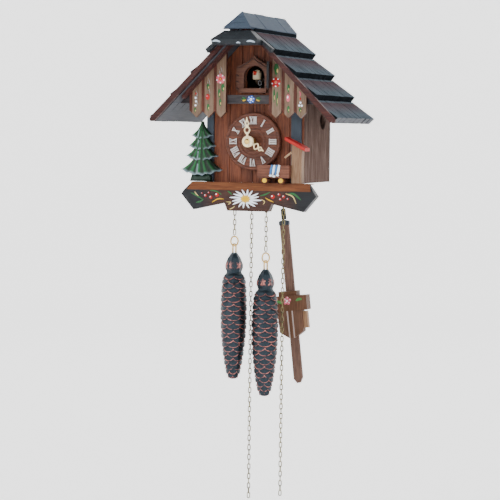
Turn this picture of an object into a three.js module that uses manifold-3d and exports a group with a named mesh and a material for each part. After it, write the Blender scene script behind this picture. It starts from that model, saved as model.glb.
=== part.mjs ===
// Chain-driven cuckoo clock with a chalet case: every piece is its own named mesh.
// Millimetres. +X is to the right as seen from the front, +Y goes into the wall, +Z is up.
// The origin is on the rear face of the case, straight behind the arbor that carries the hands.

import * as THREE from 'three';
import { ConvexGeometry } from 'three/addons/geometries/ConvexGeometry.js';
import { mergeVertices } from 'three/addons/utils/BufferGeometryUtils.js';
import Module from 'manifold-3d';

const wasm = await Module();
wasm.setup();

// ---------------------------------------------------------------- driving dimensions

const GAP = 0.3; // left between two pieces that touch
const RUN = 0.4; // radial clearance of anything that turns
const FINE = 12; // curve segments of a large round outline
const COARSE = 5; // curve segments of a small round outline

const house = {
  width: 104, depth: 88, bottom: -42,
  front: 3, side: 4, floor: 4, back: 3,
};

const roof = {
  halfSpan: 100.2, ridgeZ: 119.5, pitch: THREE.MathUtils.degToRad(46), front: house.depth + 40,
  rows: 4, rowRun: 21.6, butt: 4.3, buttLean: THREE.MathUtils.degToRad(60),
  thickness: 8.2, ridgeDrop: 8.96,
};
const tipZ = roof.ridgeZ + roof.ridgeDrop - roof.halfSpan * Math.tan(roof.pitch);

const cap = { front: roof.front + 17.5, halfWidth: 14.2, thickness: 4, over: 9.8, hipRun: 14.8 };

const hip = {
  topHalf: 13.6, lowHalf: 24.5, topZ: roof.ridgeZ - 8.9, lowZ: roof.ridgeZ - 18.5, edge: 5.5,
  topFront: roof.front + 17, front: roof.front + 25.6, back: roof.front + 4.6,
  earFront: roof.front + 12.5, earDrop: 4.2,
};

const bargeboard = { thickness: 4, height: 8.5, reach: 96.6 };
const gableBoard = { front: roof.front - 7, depth: 9.6, drop: 3.8, halfWidth: 68 };

const slat = {
  width: 11.3, thickness: 4, front: house.depth + 22.9, first: 29.7, pitch: 13.2,
  shoulderZ: 29.5, tipZ: 23.8, below: 1.5,
};

const beam = { bottom: 38, height: 8.8, thickness: 6 };

const opening = { halfWidth: 11.2, sillZ: 54, springZ: 65.6 };

const windowFrame = {
  halfWidth: 19.3, bottom: 49.2, shoulderZ: 76, peakZ: 86.7, depth: 5.7, corner: 3,
  lipHalf: 14.2, lipHeight: 4.4, lipDepth: 9.5,
};

const door = {
  width: 28.6, height: 26.2, overLip: 0.3, thickness: 2.2, hingeX: 17, hingeInset: 0.9,
  open: THREE.MathUtils.degToRad(106), pinRadius: 0.7, pinLength: 1.6,
};

const bird = {
  headRadius: 4.7, headY: -2 - house.depth, headZ: 67.5, bodyLength: 20, bodyHeight: 11, bodyWidth: 9.4,
  bodyY: 9 - house.depth, bodyZ: 61.5, beakLength: 4.6, beakRadius: 1.5, beakOpen: 0.28,
  neckWidth: 4.2, neckLength: 7, neckHeight: 5.2, tailLength: 7, tailHalf: 2.3, tailThickness: 2,
};

const birdArm = {
  x: -26, y: 22 - house.depth, z: 52.5, wire: 0.9, height: 22, foot: 2.4, reach: 13 - house.depth,
};

const base = {
  tipX: 72.7, tipZ: -54.2, topX: 63.7, footX: 59.2, footZ: -70.1,
  notchX: 25.4, notchZ: -62.6, dropX: 22.2, dropZ: -70.5,
  front: house.depth + 20.5, thickness: 9, chamferDrop: 7.8, chamferRun: 6.6,
  ledgeHalf: 50, ledgeHeight: 8,
};

const dial = { radius: 29.4, front: house.depth + 8.6, rim: 1.4, rimWidth: 2.6, bore: 4.6 };

const tree = {
  x: -54, y: house.depth + 9, thickness: 9, apexZ: 19.9, lean: -0.55,
  tiers: [
    { half: 13.2, tipZ: 5.3, neck: 6.5 },
    { half: 15.5, tipZ: -5.5, neck: 8.5 },
    { half: 18, tipZ: -16, neck: 11 },
    { half: 23, tipZ: -31, neck: 9.8 },
  ],
  undercut: 1.6, skirt: 6,
};

const trough = {
  left: 9.3, right: 43.2, top: -23.7, bottom: -36.4, front: house.depth + 19, depth: 10,
  rim: 2.6, hollow: 4, end: 1.6,
};
const foot = { radius: 2.9, inset: 8.3, length: 14, sides: 16, sink: 0.2 };

const post = { left: 43.6, right: 54.4, front: house.depth + 13, depth: 8 };
const postRoof = { leftX: 37.9, leftZ: 4.9, rightX: 59.2, rightZ: -6, thickness: 3.2, overhang: 5 };
const spout = { radius: 1.1, length: 9, z: -10.4, tilt: THREE.MathUtils.degToRad(38), y: house.depth + 10 };

const chain = {
  diameter: 3.4, sides: 8, y: house.depth - 13.7, wheelX: 17.3, wheelZ: -20, wheelRadius: 9.35,
  loadedTop: 26, freeTop: -20, leftEnd: -371, rightEnd: -366,
};

const sprocket = { hub: chain.wheelRadius - 3.15, flange: chain.wheelRadius - 0.75, groove: 2.6 };

const plates = {
  halfWidth: 35.5, bottom: -37, top: 44, thickness: 1.2,
  frontY: 8.2 - house.depth, backY: 40 - house.depth,
  pillarRadius: 2.4, pillarInset: 5,
};

const arbor = { radius: 1.2, thick: 2.2, sides: 12 };

// Each meshing pair shares out its centre distance by its teeth.
const meshing = (distance, teethA, teethB, widthA, widthB) => [
  { teeth: teethA, pitchRadius: (distance * teethA) / (teethA + teethB), width: widthA },
  { teeth: teethB, pitchRadius: (distance * teethB) / (teethA + teethB), width: widthB },
];
const distances = { great: Math.hypot(chain.wheelX, chain.wheelZ), escape: 19, motion: 12 };
const [greatGear, driverGear] = meshing(distances.great, 32, 24, 2, 2);
const [centreGear, escapePinion] = meshing(distances.escape, 36, 9, 1.6, 3);
const [cannonGear, minuteGear] = meshing(distances.motion, 8, 24, 1.4, 1.2);
const [minutePinion, hourGear] = meshing(distances.motion, 8, 32, 3, 1.1);
const tooth = { addendum: 0.6, dedendum: 0.9, root: 0.26, tip: 0.11 };

const trainY = { great: plates.frontY + 10.3, strike: plates.frontY + 13.8, centre: plates.frontY + 18.8 };
const motionY = { cannon: plates.frontY - 2.2, hour: plates.frontY - 4.1 };
const motionAngle = THREE.MathUtils.degToRad(200);

const escape = { teeth: 15, radius: 9.5, depth: 2.6, width: 1.4, y: plates.frontY + 25.8, lean: 0.55 };
const anchor = {
  x: -5.16, z: 36, halfSpan: 7.2, arm: 2.4, pallet: 10, width: 1.6, y: escape.y, crutchY: -24,
  crutchReach: 26, crutchWire: 1, forkPlay: 0.5,
};

const hands = {
  hourFront: house.depth + 21.4, minuteFront: house.depth + 24.4, thickness: 0.8,
  hub: 5.7, hubHole: 1.7, hourHubHole: 4,
  minuteLength: 26.5, hourLength: 24.6, minuteTurn: -2, hourTurn: 120,
};
const nut = { radius: 2.6, height: 2.3, dome: 1 };
const cannonPipe = { radius: 1.6, bore: 0.7, back: plates.frontY - 0.1 };
const hourPipe = { radius: 3.4, bore: 2.1 };

const pendulum = {
  y: 17.9, tilt: THREE.MathUtils.degToRad(6.3), studRadius: 0.9, studPast: 2.6,
  wire: 1, plateTop: 107.5, plateHeight: 11.5, plateWidth: 5.4, plateThickness: 2,
  capHeight: 5.4, capWidth: 11, capThickness: 5,
  rodWidth: 10, rodThickness: 3, rodEnd: 293, point: 7, eye: 2.4,
};

const bob = {
  top: 195, thickness: 14, blockLeft: -12, blockRight: 8, blockHeight: 5,
  beamHalf: 18.8, beamHeight: 16, bodyLeft: -16.8, bodyRight: 13.4, bodyHeight: 28, slot: 0.4,
  blockInset: 2, bodyInset: 1.5, keelHalf: 4, cornerRise: 7,
};

const cone = {
  sides: 24, length: 131, leftTop: -115.6, rightTop: -131.7, clear: 3.1,
  profile: [
    [0, 3.4], [2.2, 7.6], [5.2, 9.4], [8.6, 9], [12, 7.6], [17, 9.4], [25, 12.4], [36, 13.7],
    [50, 13.9], [64, 13.3], [80, 12.1], [96, 10.4], [110, 8.6], [122, 6.2], [128.5, 3.2],
  ],
};
const bail = { wire: 0.75, half: 3.2, rise: 9.4, sink: 1.6, turn: THREE.MathUtils.degToRad(-55) };
const ring = {
  wire: 0.8, halfWidth: 3.9, halfHeight: 4.9, rise: 12.2, turn: THREE.MathUtils.degToRad(35),
};

const bellows = {
  inner: 38.6, outer: 47.4, front: 62, back: 32, bottom: -8, top: 46, lid: 2.4, open: 0.6,
  wall: 1.6, mouthZ: 6, mouthHeight: 7, mouthDepth: 3,
};

const gong = {
  wire: 1.1, inner: 5, outer: 19, turns: 2, x: 23, z: 22, y: 8.4, steps: 44, sides: 6,
  boss: 4.2, bossDepth: 4.4,
};
const hammer = { x: 29.5, z: -14, arm: 15, rod: 1.2, stem: 0.9, head: 3, headLength: 6, y: 13 };

const soundHole = { y: 25.5, z: 22, radius: 9 };
const hanger = {
  z: 72, width: 22, height: 15, thickness: 1, nail: 3.4, slot: 1.6, rise: 4.6, wellRadius: 6.8,
};
const floorSlot = { half: 5.2, depth: 4.4, pendulumHalf: 17, pendulumDepth: 6 };

// ---------------------------------------------------------------- finishes

const finish = (name, color, roughness, metalness = 0) =>
  new THREE.MeshStandardMaterial({ name, color, roughness, metalness });

const stainedWood = finish('stained_wood', 0x7b4a35, 0.6);
const darkWood = finish('dark_wood', 0x5f4f4b, 0.65);
const redStain = finish('red_stain', 0x6b3f39, 0.6);
const slatePaint = finish('slate_paint', 0x6a737a, 0.55);
const greyPaint = finish('grey_paint', 0x76797f, 0.6);
const paleWood = finish('pale_wood', 0xa08570, 0.6);
const charcoal = finish('charcoal_paint', 0x2e2c30, 0.5);
const dialWood = finish('dial_wood', 0x6e4440, 0.55);
const boneHand = finish('bone_plastic', 0xe8d8b0, 0.4);
const treePaint = finish('tree_paint', 0x2c5a3a, 0.55);
const troughWood = finish('trough_wood', 0x9a7458, 0.6);
const redPaint = finish('red_paint', 0xc8403f, 0.45);
const blackPaint = finish('black_paint', 0x1b191a, 0.6);
const birdPaint = finish('bird_paint', 0xd9c8a0, 0.5);
const brass = finish('brass', 0xc9a45a, 0.3, 1);
const steel = finish('steel', 0x9a9c9e, 0.35, 1);
const chainMetal = finish('chain_metal', 0x8b8663, 0.4, 1);
const castIron = finish('cast_iron', 0x2b3036, 0.5, 0.6);
const rodWood = finish('rod_wood', 0x4c3a34, 0.6);
const clothPaper = finish('bellows_wood', 0xb59a72, 0.8);

// ---------------------------------------------------------------- shaping helpers

const clock = new THREE.Group();

function add(name, geometry, material, parent = clock) {
  const mesh = new THREE.Mesh(geometry, material);
  mesh.name = name;
  parent.add(mesh);
  return mesh;
}

function group(x, y, z, turnY = 0, turnZ = 0) {
  const made = new THREE.Group();
  made.position.set(x, y, z);
  made.rotation.set(0, turnY, turnZ);
  clock.add(made);
  return made;
}

function outline(points) {
  return new THREE.Shape(points.map(([x, z]) => new THREE.Vector2(x, z)));
}

function circle(x, z, radius) {
  const path = new THREE.Shape();
  path.absarc(x, z, radius, 0, 2 * Math.PI, false);
  return path;
}

// A flat piece: its outline lies in the XZ plane and it runs from y = front back to y = back.
function slab(shape, front, back, holes = [], curveSegments = COARSE) {
  const cut = shape.clone();
  cut.holes = [...cut.holes, ...holes];
  const depth = back - front;
  const geometry = new THREE.ExtrudeGeometry(cut, { depth, bevelEnabled: false, curveSegments });
  geometry.rotateX(Math.PI / 2);
  geometry.translate(0, back, 0);
  return geometry;
}

function box(x0, x1, y0, y1, z0, z1) {
  const geometry = new THREE.BoxGeometry(x1 - x0, y1 - y0, z1 - z0);
  geometry.translate((x0 + x1) / 2, (y0 + y1) / 2, (z0 + z1) / 2);
  return geometry;
}

// A round bar along Y, from y = front to y = back.
function barY(x, z, radius, front, back, sides = arbor.sides) {
  const geometry = new THREE.CylinderGeometry(radius, radius, back - front, sides);
  geometry.translate(x, (front + back) / 2, z);
  return geometry;
}

function barZ(x, y, radius, z0, z1, sides = arbor.sides) {
  const geometry = new THREE.CylinderGeometry(radius, radius, z1 - z0, sides);
  geometry.rotateX(Math.PI / 2);
  geometry.translate(x, y, (z0 + z1) / 2);
  return geometry;
}

// A wire of round section along a list of points.
function wire(points, radius, sides = 8, steps = 24, closed = false) {
  const curve = new THREE.CatmullRomCurve3(
    points.map(([x, y, z]) => new THREE.Vector3(x, y, z)), closed, 'centripetal');
  const section = new THREE.Shape();
  for (let i = 0; i < sides; i += 1) {
    const a = (2 * Math.PI * i) / sides;
    const [u, v] = [radius * Math.cos(a), radius * Math.sin(a)];
    if (i === 0) section.moveTo(u, v);
    else section.lineTo(u, v);
  }
  section.closePath();
  return new THREE.ExtrudeGeometry(section, { steps, extrudePath: curve, bevelEnabled: false });
}

function solid(geometry) {
  const bare = geometry.clone();
  bare.deleteAttribute('normal');
  bare.deleteAttribute('uv');
  const merged = mergeVertices(bare);
  const index = merged.index.array;
  return new wasm.Manifold(new wasm.Mesh({
    numProp: 3,
    vertProperties: new Float32Array(merged.attributes.position.array),
    triVerts: new Uint32Array(index),
  }));
}

function geometryOf(manifold) {
  const mesh = manifold.getMesh();
  const geometry = new THREE.BufferGeometry();
  geometry.setAttribute('position', new THREE.BufferAttribute(mesh.vertProperties, 3));
  geometry.setIndex(new THREE.BufferAttribute(mesh.triVerts, 1));
  geometry.computeVertexNormals();
  return geometry;
}

function join(...geometries) {
  return geometryOf(geometries.map(solid).reduce((sum, next) => sum.add(next)));
}

function cut(geometry, ...tools) {
  return geometryOf(tools.map(solid).reduce((left, tool) => left.subtract(tool), solid(geometry)));
}

// A block whose lower face slopes from (lowY, lowZ) up and back to (highY, highZ), for cutting bevels.
function bevelTool(half, lowY, lowZ, highY, highZ) {
  const beyond = 2 * (highZ - lowZ);
  return new ConvexGeometry([-half, half].flatMap((x) => [
    new THREE.Vector3(x, lowY, lowZ),
    new THREE.Vector3(x, highY, highZ),
    new THREE.Vector3(x, highY, highZ + beyond),
    new THREE.Vector3(x, lowY - beyond, highZ + beyond),
    new THREE.Vector3(x, lowY - beyond, lowZ),
  ]));
}

// A toothed outline round (x, z); one tooth points along the angle `facing`.
function gearOutline(gear, x, z, facing) {
  const module = (2 * gear.pitchRadius) / gear.teeth;
  const tip = gear.pitchRadius + tooth.addendum * module;
  const root = gear.pitchRadius - tooth.dedendum * module;
  const step = (2 * Math.PI) / gear.teeth;
  const corners = [[root, -tooth.root], [tip, -tooth.tip], [tip, tooth.tip], [root, tooth.root]];
  const points = [];
  for (let i = 0; i < gear.teeth; i += 1) {
    for (const [radius, share] of corners) {
      const a = facing + (i + share) * step;
      points.push([x + radius * Math.cos(a), z + radius * Math.sin(a)]);
    }
  }
  return outline(points);
}

// The angle that puts a gap of `gear` towards the angle `facing`.
const gapTowards = (gear, facing) => facing + Math.PI / gear.teeth;

// Underside of the roof boards at a distance x from the middle.
const underside = (x) => {
  const lowX = roof.halfSpan - roof.thickness * Math.sin(roof.pitch);
  const lowZ = tipZ - roof.thickness * Math.cos(roof.pitch);
  return lowZ + (lowX - Math.abs(x)) * Math.tan(roof.pitch);
};

// ---------------------------------------------------------------- case

function caseFront() {
  const half = house.width / 2;
  const shape = outline([
    [-half, house.bottom], [half, house.bottom], [half, underside(half) - GAP],
    [0, underside(0) - GAP], [-half, underside(half) - GAP],
  ]);
  const window = archedOpening(opening.halfWidth, opening.sillZ, opening.springZ);
  const holes = [window, circle(0, 0, dial.bore)];
  add('case_front', slab(shape, -house.depth, house.front - house.depth, holes), stainedWood);
}

function archedOpening(half, sill, spring) {
  const path = new THREE.Shape();
  path.moveTo(-half, sill);
  path.lineTo(half, sill);
  path.lineTo(half, spring);
  path.absarc(0, spring, half, 0, Math.PI, false);
  path.closePath();
  return path;
}

const inside = {
  front: house.front - house.depth + GAP,
  back: -house.back - GAP,
  half: house.width / 2 - house.side - GAP,
};

function caseSides() {
  const half = house.width / 2;
  const top = underside(half) - GAP;
  for (const [word, x] of [['left', -half], ['right', half - house.side]]) {
    const board = box(x, x + house.side, inside.front, inside.back, house.bottom, top);
    const hole = new THREE.CylinderGeometry(soundHole.radius, soundHole.radius, 2 * house.side, 2 * FINE);
    hole.rotateZ(Math.PI / 2);
    hole.translate(x + house.side / 2, -soundHole.y, soundHole.z);
    add(`case_side_${word}`, cut(board, hole), darkWood);
  }
}

const strandX = {
  leftLoaded: -chain.wheelX - chain.wheelRadius, leftFree: -chain.wheelX + chain.wheelRadius,
  rightLoaded: chain.wheelX - chain.wheelRadius, rightFree: chain.wheelX + chain.wheelRadius,
};

function caseFloor() {
  const top = house.bottom + house.floor;
  const board = box(-inside.half, inside.half, inside.front, inside.back, house.bottom, top);
  const [low, high] = [house.bottom - 1, top + 1];
  const chainSlots = Object.values(strandX).map((x) => box(
    x - floorSlot.half, x + floorSlot.half,
    -chain.y - floorSlot.depth, -chain.y + floorSlot.depth, low, high));
  const pendulumSlot = box(
    -floorSlot.pendulumHalf, floorSlot.pendulumHalf,
    -pendulum.y - floorSlot.pendulumDepth, -pendulum.y + floorSlot.pendulumDepth, low, high);
  add('case_floor', cut(board, ...chainSlots, pendulumSlot), darkWood);
}

function backCover() {
  const half = house.width / 2;
  const shape = outline([
    [-half, house.bottom], [half, house.bottom], [half, underside(half) - GAP],
    [0, underside(0) - GAP], [-half, underside(half) - GAP],
  ]);
  const board = slab(shape, -house.back, 0, [circle(0, hanger.z, hanger.wellRadius)]);
  const pocket = box(
    -hanger.width / 2 - GAP, hanger.width / 2 + GAP, -hanger.thickness - 2 * GAP, 1,
    hanger.z - hanger.height / 2 - GAP, hanger.z + hanger.height / 2 + GAP);
  const stud = barY(anchor.x, anchor.z, pendulum.studRadius, -pendulum.y - pendulum.studPast, -1);
  add('back_cover', join(cut(board, pocket), stud), darkWood);
}

function wallHanger() {
  const [w, h] = [hanger.width / 2, hanger.height / 2];
  const shape = outline([
    [-w, hanger.z - h], [w, hanger.z - h], [w, hanger.z + h], [-w, hanger.z + h],
  ]);
  const keyhole = new THREE.Path();
  const side = Math.sqrt(hanger.nail ** 2 - hanger.slot ** 2);
  const start = Math.atan2(side, hanger.slot);
  keyhole.absarc(0, hanger.z - hanger.rise / 2, hanger.nail, start, Math.PI - start, true);
  keyhole.absarc(0, hanger.z + hanger.rise, hanger.slot, Math.PI, 0, true);
  keyhole.closePath();
  add('wall_hanger', slab(shape, -hanger.thickness - GAP, -GAP, [keyhole]), steel);
}

// One shingled roof board: its section steps down once for every row of shingles.
function roofSection() {
  const points = [[GAP / 2, underside(0) - GAP], [GAP / 2, roof.ridgeZ]];
  const lean = [roof.butt * Math.cos(roof.buttLean), roof.butt * Math.sin(roof.buttLean)];
  for (let row = roof.rows - 1; row >= 0; row -= 1) {
    const x = roof.halfSpan - row * roof.rowRun;
    const z = tipZ + row * roof.rowRun * Math.tan(roof.pitch);
    points.push([x, z]);
    if (row > 0) points.push([x - lean[0], z - lean[1]]);
  }
  const low = roof.halfSpan - roof.thickness * Math.sin(roof.pitch);
  points.push([low, underside(low)]);
  return points;
}

function roofBoards() {
  const points = roofSection();
  add('roof_right', slab(outline(points), -roof.front, 0), slatePaint);
  const mirrored = points.map(([x, z]) => [-x, z]).reverse();
  add('roof_left', slab(outline(mirrored), -roof.front, 0), slatePaint);
}

function ridgeCap() {
  const apex = roof.ridgeZ + cap.over;
  const slope = Math.tan(roof.pitch);
  const edgeZ = apex - cap.halfWidth * slope;
  const [dx, dz] = [cap.thickness * Math.sin(roof.pitch), cap.thickness * Math.cos(roof.pitch)];
  const chevron = slab(outline([
    [-cap.halfWidth, edgeZ], [dx - cap.halfWidth, edgeZ - dz],
    [0, apex - cap.thickness / Math.cos(roof.pitch)],
    [cap.halfWidth - dx, edgeZ - dz], [cap.halfWidth, edgeZ], [0, apex],
  ]), -cap.front, 0);
  const wedge = bevelTool(cap.halfWidth + 1, -cap.front, edgeZ, cap.hipRun - cap.front, apex);
  add('ridge_cap', cut(chevron, wedge), slatePaint);
}

function frontHip() {
  const body = new ConvexGeometry([-1, 1].flatMap((side) => [
    new THREE.Vector3(side * hip.topHalf, -hip.back, hip.topZ - 3 * GAP),
    new THREE.Vector3(side * hip.topHalf, -hip.topFront, hip.topZ - 3 * GAP),
    new THREE.Vector3(side * hip.lowHalf, -hip.front, hip.lowZ),
    new THREE.Vector3(side * (hip.lowHalf - 1), 1 - hip.front, hip.lowZ - hip.edge),
    new THREE.Vector3(side * hip.lowHalf, -hip.back, hip.lowZ - 1),
    new THREE.Vector3(side * (hip.lowHalf - 1), -hip.back, hip.lowZ - hip.edge),
  ]));
  const section = roofSection();
  const [tip, notch] = [section[2], section[3]];
  const under = [hip.topHalf + 1, hip.topZ - hip.earDrop];
  const top = [hip.topHalf, hip.topZ - 1.5];
  const ear = (side) => {
    const points = [top, tip, notch, under].map(([x, z]) => [side * x, z]);
    return slab(outline(side > 0 ? points.reverse() : points), -hip.earFront, -hip.back);
  };
  add('front_hip', join(body, ear(-1), ear(1)), charcoal);
}

function bargeboards() {
  const front = -roof.front - GAP - bargeboard.thickness;
  const back = -roof.front - GAP;
  for (const side of [-1, 1]) {
    const nose = bargeboard.height * Math.cos(roof.pitch) / 2;
    const endX = bargeboard.reach - nose;
    const shape = new THREE.Shape();
    shape.moveTo(side * GAP / 2, underside(0));
    shape.lineTo(side * endX, underside(endX));
    const middle = [endX + nose * Math.sin(roof.pitch), underside(endX) + nose * Math.cos(roof.pitch)];
    const start = roof.pitch + Math.PI;
    for (let i = 1; i < COARSE; i += 1) {
      const a = start + Math.PI / 4 + (i / COARSE) * Math.PI;
      shape.lineTo(
        side * (middle[0] + nose * Math.cos(a)),
        middle[1] + nose * Math.sin(a));
    }
    shape.lineTo(side * endX, underside(endX) + bargeboard.height);
    shape.lineTo(side * GAP / 2, underside(0) + bargeboard.height - cap.thickness);
    add(side < 0 ? 'bargeboard_left' : 'bargeboard_right', slab(shape, front, back), redStain);
  }
}

function gableMoulding() {
  const end = gableBoard.halfWidth;
  const shape = outline([
    [0, underside(0) - GAP], [-end, underside(end) - GAP],
    [-end, underside(end) - gableBoard.drop], [0, underside(0) - gableBoard.drop],
    [end, underside(end) - gableBoard.drop], [end, underside(end) - GAP],
  ]);
  add('gable_board', slab(shape, -gableBoard.front, gableBoard.depth - gableBoard.front), redStain);
}

function slats() {
  const back = slat.thickness - slat.front;
  for (const side of [-1, 1]) {
    for (let i = 0; i < 3; i += 1) {
      const x = side * (slat.first + i * slat.pitch);
      const [x0, x1] = [x - slat.width / 2, x + slat.width / 2];
      const shape = outline([
        [x, slat.tipZ], [x1, slat.shoulderZ], [x1, underside(x1) - slat.below],
        [x0, underside(x0) - slat.below], [x0, slat.shoulderZ],
      ]);
      const number = side < 0 ? 3 - i : 4 + i;
      add(`slat_${number}`, slab(shape, -slat.front, back), paleWood);
    }
  }
}

function crossBeam() {
  const reach = (z) => (underside(0) - GAP - z) / Math.tan(roof.pitch);
  const top = beam.bottom + beam.height;
  const front = slat.thickness + GAP - slat.front;
  const shape = outline([
    [-reach(beam.bottom), beam.bottom], [reach(beam.bottom), beam.bottom],
    [reach(top), top], [-reach(top), top],
  ]);
  add('cross_beam', slab(shape, front, front + beam.thickness), charcoal);
}

// ---------------------------------------------------------------- carved front

function baseBoard() {
  const shape = outline([
    [-base.topX, house.bottom], [-base.tipX, base.tipZ], [-base.footX, base.footZ],
    [-base.notchX, base.notchZ], [-base.dropX, base.dropZ], [base.dropX, base.dropZ],
    [base.notchX, base.notchZ], [base.footX, base.footZ], [base.tipX, base.tipZ],
    [base.topX, house.bottom],
  ]);
  const back = base.thickness - base.front;
  const board = slab(shape, -base.front, back);
  const chamfer = bevelTool(base.tipX + 1, -base.front, house.bottom - base.chamferDrop,
    base.chamferRun - base.front, house.bottom);
  const ledge = box(
    -base.ledgeHalf, base.ledgeHalf, back - 1, -house.depth - GAP,
    house.bottom - base.ledgeHeight, house.bottom);
  add('base_board', join(cut(board, chamfer), ledge), charcoal);
}

function carvedWindow() {
  const w = windowFrame;
  const shape = new THREE.Shape();
  shape.moveTo(-w.halfWidth + w.corner, w.bottom);
  shape.lineTo(w.halfWidth - w.corner, w.bottom);
  shape.lineTo(w.halfWidth, w.bottom + w.corner);
  shape.lineTo(w.halfWidth, w.shoulderZ);
  shape.bezierCurveTo(w.halfWidth / 2, w.shoulderZ + w.corner, w.corner, w.peakZ - w.corner, 0, w.peakZ);
  shape.bezierCurveTo(-w.corner, w.peakZ - w.corner, -w.halfWidth / 2, w.shoulderZ + w.corner,
    -w.halfWidth, w.shoulderZ);
  shape.lineTo(-w.halfWidth, w.bottom + w.corner);
  shape.closePath();
  const back = -house.depth - GAP;
  const hole = archedOpening(opening.halfWidth, opening.sillZ, opening.springZ);
  const frame = slab(shape, back - w.depth, back, [hole]);
  const lip = box(-w.lipHalf, w.lipHalf, back - w.lipDepth, back, w.bottom, w.bottom + w.lipHeight);
  add('window_frame', join(frame, lip), paleWood);
}

function dialDisc() {
  const back = -house.depth - GAP;
  const face = -dial.front + dial.rim;
  const profile = [
    [dial.bore, back], [dial.radius, back], [dial.radius, -dial.front],
    [dial.radius - dial.rimWidth, -dial.front], [dial.radius - dial.rimWidth - dial.rim, face],
    [dial.bore, face], [dial.bore, back],
  ].map(([r, y]) => new THREE.Vector2(r, y)).reverse();
  add('dial', new THREE.LatheGeometry(profile, 4 * FINE), dialWood);
}

function firTree() {
  const right = [];
  const left = [];
  tree.tiers.forEach((tier, i) => {
    const x = tree.x + i * tree.lean;
    right.push([x + tier.half, tier.tipZ]);
    left.push([x - tier.half, tier.tipZ]);
    const low = tier.tipZ - (tier === tree.tiers.at(-1) ? tree.skirt : tree.undercut);
    right.push([x + tier.neck, low]);
    left.push([x - tier.neck, low]);
  });
  const trunk = tree.tiers.at(-1).neck;
  const x = tree.x + (tree.tiers.length - 1) * tree.lean;
  const bottom = house.bottom + GAP;
  const shape = outline([
    [tree.x, tree.apexZ], ...left, [x - trunk, bottom], [x + trunk, bottom], ...right.reverse(),
  ]);
  add('fir_tree', slab(shape, -tree.y - tree.thickness / 2, tree.thickness / 2 - tree.y), treePaint);
}

function waterTrough() {
  const back = trough.depth - trough.front;
  const log = box(trough.left, trough.right, -trough.front, back, trough.bottom, trough.top);
  const hollow = box(
    trough.left + trough.rim, trough.right - trough.rim, trough.rim - trough.front,
    back - trough.rim, trough.top - trough.hollow, trough.top + 1);
  const footZ = trough.bottom - foot.radius + foot.sink;
  const feet = [trough.left + foot.inset, trough.right - foot.inset].map((x) =>
    barY(x, footZ, foot.radius, -trough.front - trough.end, foot.length - trough.front, foot.sides));
  add('trough', join(cut(log, hollow), ...feet), troughWood);
}

function fountain() {
  const bottom = house.bottom + GAP;
  const lean = (postRoof.rightZ - postRoof.leftZ) / (postRoof.rightX - postRoof.leftX);
  const roofUnder = (x) => postRoof.leftZ - postRoof.thickness + (x - postRoof.leftX) * lean - GAP;
  const postShape = outline([
    [post.left, bottom], [post.right, bottom], [post.right, roofUnder(post.right)],
    [post.left, roofUnder(post.left)],
  ]);
  add('fountain_post', slab(postShape, -post.front, post.depth - post.front), troughWood);
  const roofShape = outline([
    [postRoof.leftX, postRoof.leftZ - postRoof.thickness],
    [postRoof.rightX, postRoof.rightZ - postRoof.thickness],
    [postRoof.rightX, postRoof.rightZ], [postRoof.leftX, postRoof.leftZ],
  ]);
  const front = -post.front - postRoof.overhang;
  const back = post.depth - post.front + postRoof.overhang / 2;
  add('fountain_roof', slab(roofShape, front, back), redPaint);
  const stick = new THREE.CylinderGeometry(spout.radius, spout.radius, spout.length, arbor.sides);
  const angle = Math.PI / 2 - spout.tilt;
  stick.rotateX(Math.PI / 2);
  stick.rotateY(angle);
  const half = spout.length / 2;
  const reach = half * Math.cos(spout.tilt) + spout.radius * Math.sin(spout.tilt) + GAP;
  stick.translate(post.left - reach, -spout.y, spout.z - half * Math.sin(spout.tilt));
  add('fountain_spout', stick, paleWood);
}

// ---------------------------------------------------------------- bird, door and hands

function cuckooDoor() {
  const hinge = group(door.hingeX, windowFrontY() - door.hingeInset - door.thickness / 2, 0, 0, door.open);
  const half = door.thickness / 2;
  const bottom = windowFrame.bottom + windowFrame.lipHeight + door.overLip;
  const top = bottom + door.height;
  const panel = box(-door.width, 0, -half, half, bottom, top);
  const pins = [[bottom - door.pinLength, bottom + 1], [top - 1, top + door.pinLength]].map(
    ([low, high]) => barZ(-door.pinRadius, 0, door.pinRadius, low, high, arbor.sides));
  add('cuckoo_door', join(panel, ...pins), blackPaint, hinge);
}

const windowFrontY = () => -house.depth - GAP - windowFrame.depth;

function ball(x, y, z, rx, ry, rz, columns = 14, rows = 9) {
  const geometry = new THREE.SphereGeometry(1, columns, rows);
  geometry.scale(rx, ry, rz);
  geometry.translate(x, y, z);
  return geometry;
}

function cuckooBird() {
  const body = ball(0, bird.bodyY, bird.bodyZ, bird.bodyWidth / 2, bird.bodyLength / 2, bird.bodyHeight / 2);
  const head = ball(0, bird.headY, bird.headZ, bird.headRadius, bird.headRadius, bird.headRadius);
  const neck = ball(0, (bird.headY + bird.bodyY) / 2, (bird.headZ + bird.bodyZ) / 2,
    bird.neckWidth, bird.neckLength, bird.neckHeight);
  const rump = bird.bodyY + bird.bodyLength / 2;
  const tail = box(-bird.tailHalf, bird.tailHalf, rump - bird.tailLength / 2, rump + bird.tailLength / 2,
    bird.bodyZ - bird.tailThickness / 2, bird.bodyZ + bird.tailThickness / 2);
  const beak = [-1, 1].map((side) => {
    const jaw = new THREE.ConeGeometry(bird.beakRadius, bird.beakLength, 8);
    jaw.rotateX(Math.PI + side * bird.beakOpen);
    jaw.translate(0, bird.headY - bird.headRadius - bird.beakLength / 4,
      bird.headZ + side * bird.beakRadius / Math.SQRT2);
    return jaw;
  });
  add('cuckoo_bird', join(body, head, neck, tail, ...beak), birdPaint);
}

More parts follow.
